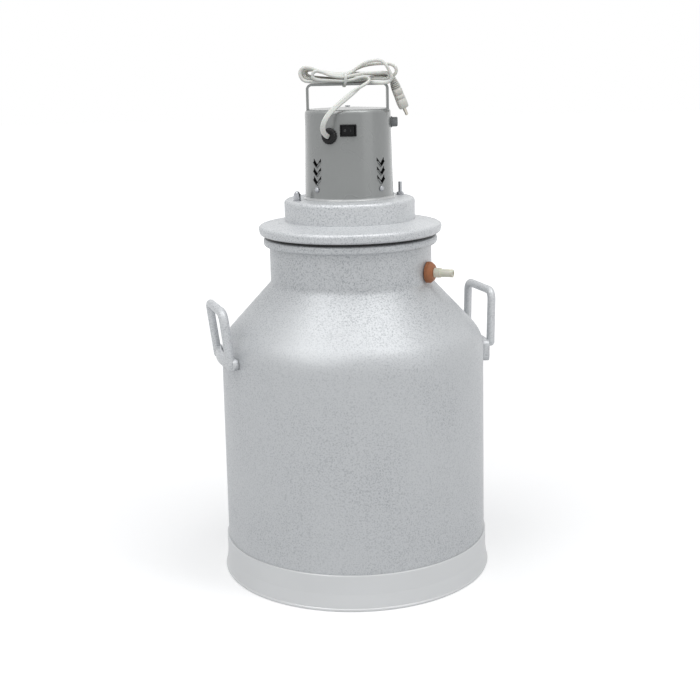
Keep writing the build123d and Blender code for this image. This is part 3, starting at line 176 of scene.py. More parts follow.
# The cord from the gland, up to the turns on the handle, to the plug.
CORD = (
    (-25.57, -55.45, 585.47), (-30.0, -65.5, 588.5), (-32.2, -73.5, 598.0),
    (-27.5, -72.5, 609.5), (-17.0, -63.5, 620.5), (-3.0, -49.5, 631.0),
    (12.0, -33.5, 642.5), (24.4, -19.5, 649.0), (28.9, -16.5, 652.6),
    (26.7, -14.8, 657.1), (18.5, -14.0, 657.5), (8.9, -13.0, 654.3),
    (-2.7, -11.8, 652.2), (-16.7, -12.0, 653.0), (-29.4, -12.0, 653.8),
    (-38.0, -12.0, 654.7), (-43.6, -12.0, 657.1), (-44.2, -12.0, 662.6),
    (-39.5, -12.0, 666.2), (-31.7, -12.0, 664.3), (-21.6, -12.0, 659.6),
    (-11.5, -12.0, 657.7), (-2.5, -11.8, 657.2), (7.7, -11.5, 659.2),
    (19.2, -11.0, 661.7), (33.3, -10.4, 661.9), (44.7, -9.8, 662.2),
    (52.2, -9.0, 661.8), (54.7, -8.4, 657.5), (51.1, -7.2, 653.8),
    (39.6, -6.4, 654.8), (28.1, -6.2, 654.5), (11.4, -5.6, 652.6),
    (-2.7, -5.2, 651.4), (-18.0, -6.0, 651.7), (-34.6, -8.0, 652.0),
    (-48.6, -9.0, 652.4), (-56.0, -9.0, 653.8), (-60.2, -8.5, 659.9),
    (-59.7, -7.6, 667.6), (-53.8, -7.0, 670.9), (-45.1, -6.2, 669.1),
    (-33.1, -5.5, 664.3), (-17.8, -5.2, 660.2), (-2.5, -5.2, 659.1),
    (6.5, -5.0, 662.9), (14.3, -5.5, 669.8), (24.6, -6.5, 675.3),
    (34.8, -8.0, 677.3), (43.7, -10.5, 677.3), (49.9, -13.2, 671.8),
    (53.8, -14.0, 664.5), (56.8, -13.6, 657.7), (55.4, -13.0, 651.0),
    (47.0, -12.4, 648.5), (34.3, -9.8, 649.4), (19.2, -0.8, 650.8),
    (7.6, 1.0, 652.1), (-2.6, 1.2, 652.8), (-16.8, 1.0, 653.6),
    (-32.1, 0.0, 654.5), (-46.2, -1.5, 655.3), (-54.1, -1.5, 657.2),
    (-57.0, -1.0, 662.5), (-54.6, -0.4, 667.7), (-47.2, 0.8, 668.3),
    (-34.5, 1.0, 664.3), (-17.9, 1.2, 661.2), (-2.5, 1.2, 660.5),
    (6.6, 1.5, 664.2), (15.7, 1.5, 669.2), (27.3, 1.0, 672.2),
    (38.8, -0.5, 673.2), (50.3, -2.0, 673.2), (58.9, -2.6, 671.6),
    (63.7, -2.8, 666.5), (62.9, -2.0, 660.2), (56.6, 1.0, 656.9),
    (46.3, 3.0, 656.8), (32.3, 6.0, 656.3), (12.9, 7.4, 655.2),
    (-2.6, 7.4, 654.8), (-18.1, 7.2, 655.3), (-34.8, 6.5, 657.0),
    (-46.9, 5.5, 658.5), (-52.4, 5.2, 661.1), (-52.3, 5.6, 665.9),
    (-46.1, 6.6, 667.7), (-33.3, 7.4, 664.7), (-16.6, 7.4, 662.1),
    (-2.4, 7.4, 661.5), (11.7, 7.2, 661.8), (27.2, 6.0, 660.9),
    (40.0, 3.0, 660.4), (50.1, -0.6, 661.0), (56.9, -4.4, 660.4),
    (57.6, -6.0, 655.4), (59.8, -4.7, 650.0),
)

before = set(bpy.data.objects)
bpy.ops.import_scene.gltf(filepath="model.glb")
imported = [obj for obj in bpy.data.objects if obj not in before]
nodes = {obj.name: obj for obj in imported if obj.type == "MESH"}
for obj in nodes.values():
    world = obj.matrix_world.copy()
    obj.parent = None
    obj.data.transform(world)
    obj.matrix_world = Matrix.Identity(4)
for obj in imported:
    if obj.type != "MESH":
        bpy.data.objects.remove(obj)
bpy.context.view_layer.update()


# Materials
COVER_GREY_LOW = (0.268, 0.277, 0.273)
COVER_GREY_HIGH = (0.30, 0.309, 0.305)
# A painted highlight on what stands proud of the cover: the louvre lips and the bottom flange.
COVER_PAINTED_HIGHLIGHT = (0.62, 0.63, 0.63)
# Painted shade inside the cover, on the louvre lips' upper faces and in the louvres' mouths.
COVER_PAINTED_SHADE = (0.006, 0.006, 0.006)

# The hammertone's scales of dimples, grain and large patches, and the levels in metres between which
# it gets stronger towards the shoulder and the neck.
DIMPLE_SCALE = 520
GRAIN_SCALE = 1000
PATCH_SCALE = 9
DIMPLE_SHARE = 0.75
STRONGER_FROM = 0.33
STRONGER_TO = 0.40
PEEL_SCALE = 900


def new_material(name):
    material = bpy.data.materials.new(name)
    material.use_nodes = True
    tree = material.node_tree
    tree.nodes.clear()
    out = tree.nodes.new("ShaderNodeOutputMaterial")
    shader = tree.nodes.new("ShaderNodeBsdfPrincipled")
    tree.links.new(shader.outputs["BSDF"], out.inputs["Surface"])
    return material, tree, shader


def place(tree, scale=(1, 1, 1)):
    """The object's own coordinates in metres, stretched by scale."""
    where = tree.nodes.new("ShaderNodeTexCoord")
    mapping = tree.nodes.new("ShaderNodeMapping")
    mapping.inputs["Scale"].default_value = scale
    tree.links.new(where.outputs["Object"], mapping.inputs["Vector"])
    return mapping.outputs["Vector"]


def noise(tree, where, scale, detail=2.0, rough=0.5):
    node = tree.nodes.new("ShaderNodeTexNoise")
    node.inputs["Scale"].default_value = scale
    node.inputs["Detail"].default_value = detail
    node.inputs["Roughness"].default_value = rough
    tree.links.new(where, node.inputs["Vector"])
    return node.outputs["Fac"]


def span(tree, value, low, high, out_low, out_high):
    """Maps a value from one range to another, clamped."""
    node = tree.nodes.new("ShaderNodeMapRange")
    node.inputs["From Min"].default_value = low
    node.inputs["From Max"].default_value = high
    node.inputs["To Min"].default_value = out_low
    node.inputs["To Max"].default_value = out_high
    tree.links.new(value, node.inputs["Value"])
    return node.outputs["Result"]


def blend(tree, factor, low, high):
    """A colour between two colours, either of which may be a socket."""
    node = tree.nodes.new("ShaderNodeMix")
    node.data_type = "RGBA"
    tree.links.new(factor, node.inputs[0])
    for socket, colour in ((node.inputs[6], low), (node.inputs[7], high)):
        if isinstance(colour, tuple):
            socket.default_value = (*colour, 1)
        else:
            tree.links.new(colour, socket)
    return node.outputs[2]


def combine(tree, kind, a, b=0.0):
    """One step of arithmetic on values that may be sockets or numbers."""
    node = tree.nodes.new("ShaderNodeMath")
    node.operation = kind
    for socket, value in ((node.inputs[0], a), (node.inputs[1], b)):
        if isinstance(value, (int, float)):
            socket.default_value = value
        else:
            tree.links.new(value, socket)
    return node.outputs[0]


def bump(tree, shader, height, distance, strength):
    node = tree.nodes.new("ShaderNodeBump")
    node.inputs["Distance"].default_value = distance
    node.inputs["Strength"].default_value = strength
    tree.links.new(height, node.inputs["Height"])
    tree.links.new(node.outputs["Normal"], shader.inputs["Normal"])


def hammertone(name, shade_low, shade_high, veins_dark):
    """Silver enamel that dried in small dimples with darker veins between them, stronger in places."""
    material, tree, shader = new_material(name)
    where = place(tree)
    dimples = noise(tree, where, DIMPLE_SCALE, 3.0, 0.62)
    grain = noise(tree, where, GRAIN_SCALE)
    large = noise(tree, where, PATCH_SCALE)
    coarse = combine(tree, "MULTIPLY", dimples, DIMPLE_SHARE)
    fine = combine(tree, "MULTIPLY", grain, 1 - DIMPLE_SHARE)
    veins = combine(tree, "ADD", coarse, fine)
    dark = span(tree, veins, 0.34, 0.52, 1.0, 0.0)
    by_height = span(tree, axes(tree, "Object")[2], STRONGER_FROM, STRONGER_TO, 0.75, 1.2)
    strength = combine(tree, "MULTIPLY", span(tree, large, 0.35, 0.65, 0.45, 1.0), by_height)
    shade = blend(tree, large, shade_low, shade_high)
    colour = blend(tree, combine(tree, "MULTIPLY", dark, strength), shade, veins_dark)
    tree.links.new(colour, shader.inputs["Base Color"])
    tree.links.new(span(tree, veins, 0.35, 0.65, 0.50, 0.34), shader.inputs["Roughness"])
    shader.inputs["Metallic"].default_value = 0.25
    bump(tree, shader, veins, 0.0005, 0.5)
    return material


def enamel(name, colour, rough, metal, drift, scale, peel, coat=0.0):
    """Smooth paint with faint cloudiness and orange peel."""
    material, tree, shader = new_material(name)
    where = place(tree)
    cloud = noise(tree, where, scale, 3.0)
    low = tuple(c * (1 - drift) for c in colour)
    high = tuple(min(1.0, c * (1 + drift)) for c in colour)
    tree.links.new(blend(tree, cloud, low, high), shader.inputs["Base Color"])
    tree.links.new(span(tree, cloud, 0.3, 0.7, rough * 0.85, rough * 1.15), shader.inputs["Roughness"])
    shader.inputs["Metallic"].default_value = metal
    shader.inputs["Coat Weight"].default_value = coat
    bump(tree, shader, noise(tree, where, PEEL_SCALE), peel, 0.5)
    return material


def axes(tree, output):
    """The three parts of the object's own coordinates or of its surface direction."""
    where = tree.nodes.new("ShaderNodeTexCoord")
    parts = tree.nodes.new("ShaderNodeSeparateXYZ")
    tree.links.new(where.outputs[output], parts.inputs[0])
    return parts.outputs


def from_axis(tree, x, y):
    """The distance from the vertical axis."""
    square = combine(tree, "ADD", combine(tree, "MULTIPLY", x, x), combine(tree, "MULTIPLY", y, y))
    return combine(tree, "SQRT", square)


def over_cover(tree):
    """How far a point stands out of the cover's wall in metres, and its height."""
    x, y, z = axes(tree, "Object")
    wall = span(tree, z, COVER_LOW_Z * MM, COVER_HIGH_Z * MM, COVER_LOW_R * MM, COVER_HIGH_R * MM)
    return combine(tree, "SUBTRACT", from_axis(tree, x, y), wall), z


def over_louvres(tree):
    """1 on the V-shaped mouths of the louvres in the cover's four columns, which stand at 45 degrees, where
    the cover gets painted shade.
    """
    x, y, z = axes(tree, "Object")
    aside = combine(tree, "SUBTRACT", combine(tree, "ABSOLUTE", x), combine(tree, "ABSOLUTE", y))
    side = combine(tree, "ABSOLUTE", combine(tree, "MULTIPLY", aside, math.sqrt(0.5)))
    level = combine(tree, "SUBTRACT", z, combine(tree, "MULTIPLY", side, LOUVRE_SLOPE))
    level = combine(tree, "SUBTRACT", level, (LOUVRE_LOWEST_Z + LOUVRE_SHADE_LOW) * MM)
    row = combine(tree, "MODULO", level, LOUVRE_PITCH * MM)
    mouth = combine(tree, "LESS_THAN", row, (LOUVRE_SHADE_HIGH - LOUVRE_SHADE_LOW) * MM)
    above = combine(tree, "GREATER_THAN", level, 0.0)
    below = combine(tree, "LESS_THAN", level, LOUVRE_ROWS * LOUVRE_PITCH * MM)
    narrow = combine(tree, "LESS_THAN", side, LOUVRE_HALF_WIDTH * MM)
    rows = combine(tree, "MULTIPLY", combine(tree, "MULTIPLY", above, below), mouth)
    return combine(tree, "MULTIPLY", rows, narrow)


def cover_enamel():
    """Glossy grey enamel, with a painted highlight on what stands proud and along the bottom flange, and
    painted shade inside the cover, on the upper faces of the louvre lips and in the mouth of each louvre."""
    material, tree, shader = new_material("cover_enamel")
    where = place(tree)
    cloud = noise(tree, where, 12.0, 3.0)
    paint = blend(tree, cloud, COVER_GREY_LOW, COVER_GREY_HIGH)
    proud, height = over_cover(tree)
    # Painted highlight on the lips and other parts that stand proud of the wall, and along the bottom
    # flange.
    painted_highlight = span(tree, proud, COVER_PAINTED_HIGHLIGHT_FROM, COVER_PAINTED_HIGHLIGHT_FULL, 0.0, 1.0)
    flange = span(tree, height, FLANGE_TOP_Z * MM, (FLANGE_TOP_Z - 1) * MM, 0.0, FLANGE_PAINTED_HIGHLIGHT)
    painted_highlight = combine(tree, "MAXIMUM", painted_highlight, flange)
    paint = blend(tree, painted_highlight, paint, COVER_PAINTED_HIGHLIGHT)
    # Painted shade: inside the cover, on the upward faces of the louvre lips, and in the louvres' mouths.
    below_shoulder = combine(tree, "LESS_THAN", height, COVER_SHOULDER_Z * MM)
    within = combine(tree, "LESS_THAN", proud, COVER_INSIDE_TO)
    inside = combine(tree, "MULTIPLY", within, below_shoulder)
    faces_up = combine(tree, "GREATER_THAN", axes(tree, "Normal")[2], LIP_FACES_UP)
    over_flange = combine(tree, "GREATER_THAN", height, LOUVRES_FROM_Z * MM)
    lip = combine(tree, "MULTIPLY", combine(tree, "MULTIPLY", faces_up, over_flange), below_shoulder)
    shade = combine(tree, "MAXIMUM", combine(tree, "MAXIMUM", inside, lip), over_louvres(tree))
    tree.links.new(blend(tree, shade, paint, COVER_PAINTED_SHADE), shader.inputs["Base Color"])
    tree.links.new(span(tree, cloud, 0.3, 0.7, 0.22, 0.32), shader.inputs["Roughness"])
    shader.inputs["Metallic"].default_value = 0.25
    shader.inputs["Coat Weight"].default_value = 0.3
    bump(tree, shader, noise(tree, where, PEEL_SCALE), 0.00006, 0.5)
    return material


def brushed(name, colour, rough, along=(1, 1, 1), drift=0.1):
    """Bare metal with fine lines. They run along the axes whose scale is small."""
    material, tree, shader = new_material(name)
    where = place(tree, along)
    lines = noise(tree, where, 900, 3.0, 0.6)
    low = tuple(c * (1 - drift) for c in colour)
    tree.links.new(blend(tree, lines, low, colour), shader.inputs["Base Color"])
    tree.links.new(span(tree, lines, 0.3, 0.7, rough * 0.8, rough * 1.25), shader.inputs["Roughness"])
    shader.inputs["Metallic"].default_value = 1.0
    bump(tree, shader, lines, 0.00004, 0.4)
    return material


def moulded(name, colour, rough, speck=0.05, grain=700.0, depth=0.00006, glow=0.0, shine=0.5):
    """Moulded plastic or rubber with a fine spark-eroded grain."""
    material, tree, shader = new_material(name)
    where = place(tree)
    grains = noise(tree, where, grain, 2.0)
    stain = noise(tree, where, 40, 3.0)
    low = tuple(c * (1 - speck) for c in colour)
    high = tuple(min(1.0, c * (1 + speck)) for c in colour)
    tree.links.new(blend(tree, stain, low, high), shader.inputs["Base Color"])
    tree.links.new(span(tree, grains, 0.3, 0.7, rough * 0.85, rough * 1.15), shader.inputs["Roughness"])
    shader.inputs["Subsurface Weight"].default_value = glow
    shader.inputs["Specular IOR Level"].default_value = shine
    bump(tree, shader, grains, depth, 0.5)
    return material


PAINT = hammertone("hammertone_can", (0.61, 0.625, 0.635), (0.575, 0.59, 0.605), (0.29, 0.31, 0.33))
# A lighter copy of the can's hammertone for the lid, the motor platform and the can handles: painted light
# for the stronger light that falls on them.
PAINT_WITH_PAINTED_LIGHT = hammertone("hammertone_painted_light", (0.70, 0.715, 0.725), (0.66, 0.675, 0.69), (0.35, 0.37, 0.39))
FOOT = enamel("foot_enamel", (0.685, 0.695, 0.70), 0.38, metal=0.35, drift=0.05, scale=10.0, peel=0.0001)
COVER = cover_enamel()
STRAP = enamel(
    "strap_enamel", (0.27, 0.28, 0.275), 0.30, metal=0.25, drift=0.05, scale=12.0, peel=0.00006, coat=0.3
)
ZINC = brushed("zinc_steel", (0.40, 0.41, 0.43), 0.28)
BRIGHT = brushed("bright_stainless", (0.50, 0.51, 0.52), 0.38, along=(1, 1, 0.05))
CAST = brushed("cast_aluminium", (0.55, 0.56, 0.58), 0.55)
CORE = brushed("stacked_core_steel", (0.26, 0.27, 0.29), 0.5, along=(0.03, 0.03, 3))
COPPER = brushed("enamelled_copper", (0.55, 0.22, 0.09), 0.35, along=(0.2, 0.2, 2))
BRONZE = brushed("sintered_bronze", (0.55, 0.38, 0.18), 0.45)
PINS = brushed("plated_pins", (0.52, 0.49, 0.43), 0.28)
RED_RUBBER = moulded("red_rubber", (0.36, 0.13, 0.05), 0.5, speck=0.18, grain=420, depth=0.0002)
BLACK_RUBBER = moulded("black_rubber", (0.010, 0.010, 0.011), 0.42, shine=0.25)
BLACK = moulded("black_plastic", (0.007, 0.007, 0.008), 0.32, shine=0.15)
CAP = moulded("grey_plastic", (0.20, 0.21, 0.215), 0.45)
CREAM = moulded("cream_plastic", (0.76, 0.73, 0.61), 0.38, speck=0.03, grain=500, depth=0.00004, glow=0.08)
FAN = moulded("fan_plastic", (0.05, 0.052, 0.055), 0.5)
CASE = moulded("capacitor_case", (0.70, 0.70, 0.68), 0.3)
CORD_PVC = moulded("cord_pvc", (0.74, 0.74, 0.70), 0.36, speck=0.035, grain=800, depth=0.00004, glow=0.06)
PLUG_PVC = moulded("plug_pvc", (0.58, 0.58, 0.54), 0.4, speck=0.10, grain=420, depth=0.00008, glow=0.04)
MARK = moulded("pale_marking", (0.13, 0.13, 0.13), 0.5)

LOOKS = {
    "can_wall": PAINT, "can_shoulder": PAINT, "can_neck": PAINT, "can_bottom": PAINT, "foot_ring": FOOT,
    # The handles, lid plate and platform take the lighter copy of the hammertone, which paints light on
    # them.
    "can_handle_left": PAINT_WITH_PAINTED_LIGHT, "can_handle_right": PAINT_WITH_PAINTED_LIGHT,
    "nozzle_grommet": RED_RUBBER, "nozzle": CREAM, "nozzle_locknut": CREAM,
    "lid_plate": PAINT_WITH_PAINTED_LIGHT, "lid_skirt": BRIGHT, "lid_gasket": BLACK_RUBBER, "motor_platform": PAINT_WITH_PAINTED_LIGHT,
    "clamp_studs": ZINC, "clamp_washers": ZINC, "clamp_nuts": ZINC,
    "motor_cover": COVER, "cover_brackets": ZINC, "cover_screws": ZINC, "cover_handle": STRAP,
    "cord_gland": BLACK_RUBBER, "switch_housing": BLACK, "switch_rocker": BLACK,
    "fuse_holder": CAP, "fuse_nut": CAP, "fuse_cap": CAP,
    "lower_end_shield": CAST, "upper_end_shield": CAST, "stator_core": CORE,
    "stator_windings": COPPER, "through_bolts": ZINC, "motor_screws": ZINC,
    "bearing_outer_races": BRIGHT, "bearing_inner_races": BRIGHT, "bearing_balls": BRIGHT,
    "rotor_core": CORE, "rotor_end_rings": CAST, "motor_shaft": BRIGHT, "cooling_fan": FAN,
    "run_capacitor": CASE, "capacitor_clip": ZINC, "shaft_coupling": ZINC,
    "coupling_screws": ZINC, "drive_shaft": BRIGHT, "shaft_bush": BRONZE,
    "shaft_seal": BLACK_RUBBER, "bush_screws": ZINC, "impeller": BRIGHT, "impeller_nut": BRIGHT,
    "cord_lead": CORD_PVC, "cord_hank": CORD_PVC, "cord_tie": CORD_PVC,
    "plug_body": PLUG_PVC, "plug_pins": PINS,
}
for name, node in nodes.items():
    for slot in node.material_slots:
        slot.material = LOOKS[name]


# Pieces
def add_mesh(name, points, faces, material, body, slot):
    """A smooth mesh piece from points in millimetres that rides on a body."""
    mesh = bpy.data.meshes.new(name)
    mesh.from_pydata([Vector(p) * MM for p in points], [], faces)
    mesh.materials.append(material)
    for polygon in mesh.polygons:
        polygon.use_smooth = True
    piece = bpy.data.objects.new(name, mesh)
    bpy.context.scene.collection.objects.link(piece)
    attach(piece, body)
    return piece


def skin(rings, closed_ends=True):
    """The points of rings of equal length and the faces between them, with or without end caps."""
    count = len(rings[0])
    points = [p for row in rings for p in row]
    faces = []
    for i in range(len(rings) - 1):
        for j in range(count):
            k = (j + 1) % count
            faces.append((i * count + j, i * count + k, (i + 1) * count + k, (i + 1) * count + j))
    if closed_ends:
        faces.append(tuple(range(count))[::-1])
        faces.append(tuple((len(rings) - 1) * count + j for j in range(count)))
    return points, faces


def curve_line(points, fineness=10):
    """The points along a smooth NURBS line with the given control points."""
    data = bpy.data.curves.new("line", "CURVE")
    data.dimensions = "3D"
    data.resolution_u = fineness
    spline = data.splines.new("NURBS")
    spline.points.add(len(points) - 1)
    for point, spot in zip(spline.points, points):
        point.co = (*(Vector(spot) * MM), 1)
    spline.order_u = 3
    spline.use_endpoint_u = True
    carrier = bpy.data.objects.new("line", data)
    mesh = bpy.data.meshes.new_from_object(carrier)
    line = [v.co / MM for v in mesh.vertices]
    bpy.data.objects.remove(carrier)
    bpy.data.curves.remove(data)
    bpy.data.meshes.remove(mesh)
    return line


def tangents(line):
    """The direction of a line at each of its points."""
    ends = [line[0]] + line[:-1], line[1:] + [line[-1]]
    return [(b - a).normalized() for a, b in zip(*ends)]


def across(direction, side):
    """The part of side that is square to direction, at unit length."""
    return (side - direction * side.dot(direction)).normalized()


def step(low, high, value):
    """A smooth rise from 0 at low to 1 at high."""
    share = min(1.0, max(0.0, (value - low) / (high - low)))
    return share * share * (3 - 2 * share)


def turned_out(turn, out, along, z):
    """A place that lies out from the can's axis and along a handle, in the handle's own turn."""
    angle = math.radians(turn)
    x = out * math.cos(angle) - along * math.sin(angle)
    y = out * math.sin(angle) + along * math.cos(angle)
    return Vector((x, y, z))


def rounded_end(ring, middle, ahead):
    """Rings that close a bar's end in a dome."""
    return [[middle + (p - middle) * shrink + ahead * on for p in ring] for shrink, on in HANDLE_END_RINGS]


def handle_rings(turn, legs):
    """Rings along the bent bar, from one leg's rounded end over the top to the other's."""
    corners = []
    for along, foot_out, top_out, _, _ in legs:
        inward = -math.copysign(HANDLE_ROUNDING, along)
        share = HANDLE_ROUNDING / (HANDLE_BAR_Z - HANDLE_END_Z)
        below = top_out + (foot_out - top_out) * share
        corners.append(
            [
                turned_out(turn, foot_out, along, HANDLE_END_Z),
                turned_out(turn, below, along, HANDLE_BAR_Z - HANDLE_ROUNDING),
                turned_out(turn, top_out, along, HANDLE_BAR_Z),
                turned_out(turn, top_out, along + inward, HANDLE_BAR_Z),
            ]
        )
    line = curve_line(corners[0] + corners[1][::-1], HANDLE_FINENESS)
    ahead = tangents(line)
    outward = turned_out(turn, 1, 0, 0)
    beside = turned_out(turn, 0, 1, 0)
    turns = [2 * math.pi * n / HANDLE_POINTS for n in range(HANDLE_POINTS)]
    rings = []
    for point, direction in zip(line, ahead):
        share = step(legs[0][0], legs[1][0], point.dot(beside))
        out = legs[0][3] + (legs[1][3] - legs[0][3]) * share
        wide = legs[0][4] + (legs[1][4] - legs[0][4]) * share
        side = direction.cross(outward).normalized()
        front = side.cross(direction)
        rings.append([point + front * out * math.cos(a) + side * wide * math.sin(a) for a in turns])
    start = rounded_end(rings[0], line[0], -ahead[0])
    end = rounded_end(rings[-1], line[-1], ahead[-1])
    return start[::-1] + rings + end


def foot_rings(turn, low, high, outer):
    """Rings across the curved foot, which follows the can's wall and has rounded corners and edges."""
    rings = []
    for n in range(FOOT_STEPS + 1):
        along = -FOOT_HALF + 2 * FOOT_HALF * n / FOOT_STEPS
        past = max(0.0, abs(along) - (FOOT_HALF - FOOT_CORNER))
        cut = FOOT_CORNER - math.sqrt(FOOT_CORNER**2 - past**2)
        top, bottom = high - cut, low + cut
        ring = []
        for out, z in ((outer, top), (FOOT_INNER_R, top), (FOOT_INNER_R, bottom), (outer, bottom)):
            inward = -1 if out == outer else 1
            down = -1 if z == top else 1
            edge = [
                (out + inward * FOOT_EDGE, z),
                (out + inward * FOOT_EDGE * FOOT_EDGE_MIDDLE, z + down * FOOT_EDGE * FOOT_EDGE_MIDDLE),
                (out, z + down * FOOT_EDGE),
            ]
            if inward * down > 0:
                edge.reverse()
            ring.extend(edge)
        angle = math.asin(along / outer)
        rings.append([turned_out(turn + math.degrees(angle), out, 0, z) for out, z in ring])
    return rings


def add_can_handle(side, turn, legs, foot):
    """One can handle: its bent bar and its foot in one piece."""
    points, faces = skin(handle_rings(turn, legs))
    foot_points, foot_faces = skin(foot_rings(turn, *foot))
    faces += [tuple(len(points) + n for n in face) for face in foot_faces]
    handle = add_mesh("handle_" + side, points + foot_points, faces, PAINT_WITH_PAINTED_LIGHT, "can", "can_paint")
    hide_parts("can_handle_" + side)


for side, parts in CAN_HANDLES.items():
    add_can_handle(side, *parts)


def cord_section():
    """The twin cord's outline: two round wires in one sheath with a shallow groove."""
    outline = []
    radius = CORD_THICK / 2
    out = CORD_WIDE / 2 - radius
    for side in (1, -1):
        for n in range(CORD_ARC_STEPS + 1):
            a = math.radians(-90 + 180 * n / CORD_ARC_STEPS)
            outline.append((side * (out + radius * math.cos(a)), side * radius * math.sin(a)))
        outline.append((0.0, side * (radius - CORD_GROOVE)))
    return outline


def flat_tube(line, sides):
    """Rings of the flat cord's section along a line, with its width along sides."""
    rings = []
    for here, ahead, side in zip(line, tangents(line), sides):
        thick = ahead.cross(side)
        rings.append([here + side * w + thick * t for w, t in cord_section()])
    return rings


def cord_sides(line):
    """The direction of the cord's width: facing the front on its lead, level in the turns."""
    sides = []
    run = 0.0
    before = line[0]
    for here, ahead in zip(line, tangents(line)):
        run += (here - before).length
        before = here
        front = across(ahead, ahead.cross(Vector((0, 1, 0))))
        level = across(ahead, Vector((0, 1, 0)))
        share = step(TWIST_FROM, TWIST_TO, run)
        if sides and front.dot(sides[-1]) < 0:
            front = -front
        if level.dot(front) < 0 and share < 1:
            level = -level
        side = front.lerp(level, share)
        if sides and side.dot(sides[-1]) < 0:
            side = -side
        sides.append(across(ahead, side))
    for _ in range(TWIST_SMOOTHINGS):
        smooth = [sides[0]]
        for a, b, c in zip(sides, sides[1:], sides[2:]):
            smooth.append(a + b * 2 + c)
        smooth.append(sides[-1])
        sides = [across(t, s) for t, s in zip(tangents(line), smooth)]
    return sides


cord_line = curve_line(CORD)
cord = add_mesh("cord", *skin(flat_tube(cord_line, cord_sides(cord_line))), CORD_PVC, "lid", "cord_white")
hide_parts("cord_lead", "cord_hank")


# The gland: ribs that fan out from its mouth over the rim.
def on_gland(radius, turn, out):
    """A place beside the gland's axis: radius and turn about it, and how far out of its seat."""
    azimuth = math.radians(GLAND_AZIMUTH)
    away = Vector((math.cos(azimuth), math.sin(azimuth), 0.0))
    aside = Vector((-math.sin(azimuth), math.cos(azimuth), 0.0))
    up = Vector((0.0, 0.0, 1.0))
    centre = away * (GLAND_SEAT + out) + up * GLAND_Z
    return centre + (aside * math.cos(turn) + up * math.sin(turn)) * radius


def gland_ribs():
    """A thin ribbed collar over the gland's rim and cone, open at the mouth."""
    steps = GLAND_RIBS * GLAND_STEPS_PER_RIB
    rings = []
    for lift in (0.0, 1.0):
        row = GLAND_PROFILE if lift else GLAND_PROFILE[::-1]
        for radius, out in row:
            ring = []
            for n in range(steps):
                turn = 2 * math.pi * n / steps
                crest = step(GLAND_RIB_FROM, GLAND_RIB_TO, math.cos(turn * GLAND_RIBS))
                proud = lift * (GLAND_SKIN + GLAND_RIB_PROUD * crest)
                ring.append(on_gland(radius + proud * GLAND_SLANT, turn, out + proud * GLAND_SLANT))
            rings.append(ring)
    rings.append(rings[0])
    return skin(rings, closed_ends=False)


add_mesh("gland_ribs", *gland_ribs(), BLACK_RUBBER, "lid", "black_rubber")


# The switch: an O on the end that is pressed in and an I on the other.
def on_rocker(x, up, out):
    """A place on the rocker's two faces, which tilt with it."""
    tilt = math.radians(ROCKER_TILT)
    z = ROCKER_MIDDLE + ROCKER_SLOPE * abs(x) + out
    px, py, pz = ROCKER_PIVOT
    return Vector((
        px + x * math.cos(tilt) - z * math.sin(tilt),
        py - x * math.sin(tilt) - z * math.cos(tilt),
        pz + up,
    ))


def oval(x, half_wide, half_high, out):
    ring = []
    for n in range(OVAL_POINTS):
        a = 2 * math.pi * n / OVAL_POINTS
        ring.append(on_rocker(x + half_wide * math.cos(a), half_high * math.sin(a), out))
    return ring


def mark_o():
    wide, high, line = MARK_HALF_HIGH * MARK_NARROW, MARK_HALF_HIGH, MARK_LINE
    rings = [
        oval(-MARK_OUT, wide, high, -MARK_PROUD),
        oval(-MARK_OUT, wide, high, MARK_PROUD),
        oval(-MARK_OUT, wide - line, high - line, MARK_PROUD),
        oval(-MARK_OUT, wide - line, high - line, -MARK_PROUD),
        oval(-MARK_OUT, wide, high, -MARK_PROUD),
    ]
    return skin(rings, closed_ends=False)


def mark_i():
    half = MARK_LINE / 2
    rings = [
        oval(MARK_OUT, half, MARK_HALF_HIGH, -MARK_PROUD),
        oval(MARK_OUT, half, MARK_HALF_HIGH, MARK_PROUD * MARK_EDGE_PROUD),
        oval(MARK_OUT, half * MARK_EDGE_WIDE, MARK_HALF_HIGH * MARK_EDGE_HIGH, MARK_PROUD),
    ]
    return skin(rings)


add_mesh("mark_o", *mark_o(), MARK, "rocker", "cord_white")
add_mesh("mark_i", *mark_i(), MARK, "rocker", "cord_white")


# The plug: a slotted strain relief and a moulded body that widens to its face.
plug_aim = Vector(PLUG_AIM).normalized()
plug_wide = across(plug_aim, Vector((0, 1, 0)))
plug_thick = plug_aim.cross(plug_wide)


def plug_ring(along, half_wide, half_thick, power, slots=()):
    """A rounded oblong ring square to the plug's axis, pulled in where it has slots."""
    ring = []
    for n in range(PLUG_POINTS):
        a = 2 * math.pi * n / PLUG_POINTS
        c, s = math.cos(a), math.sin(a)
        w = half_wide * abs(c) ** (2 / power) * (1 if c >= 0 else -1)
        t = half_thick * abs(s) ** (2 / power) * (1 if s >= 0 else -1)
        pull = 1.0
        for centre in slots:
            gap = abs((math.degrees(a) - centre + 180) % 360 - 180)
            pull -= PLUG_SLOT_DEPTH * (1 - step(PLUG_SLOT_REACH * PLUG_SLOT_EDGE, PLUG_SLOT_REACH, gap))
        middle = Vector(PLUG_START) + plug_aim * along
        ring.append(middle + plug_wide * (w * pull) + plug_thick * (t * pull))
    return ring


def plug_rings():
    """The relief's ribs, slotted by turns on two sides, then the body's steps to its face."""
    rings = []
    for n in range(PLUG_RIBS):
        low = n * PLUG_RIB_STEP
        radius = PLUG_RIB_R + PLUG_RIB_GROWTH * n
        side = 90 if n % 2 else 0
        for share, half_wide, half_thick, slotted in PLUG_RIB_RINGS:
            slots = (side, side + 180) if slotted else ()
            along = low + PLUG_RIB_STEP * share
            rings.append(plug_ring(along, radius * half_wide, radius * half_thick, PLUG_RIB_POWER, slots))
    for along, half_wide, half_thick, power in PLUG_BODY:
        rings.append(plug_ring(along, half_wide, half_thick, power))
    return rings


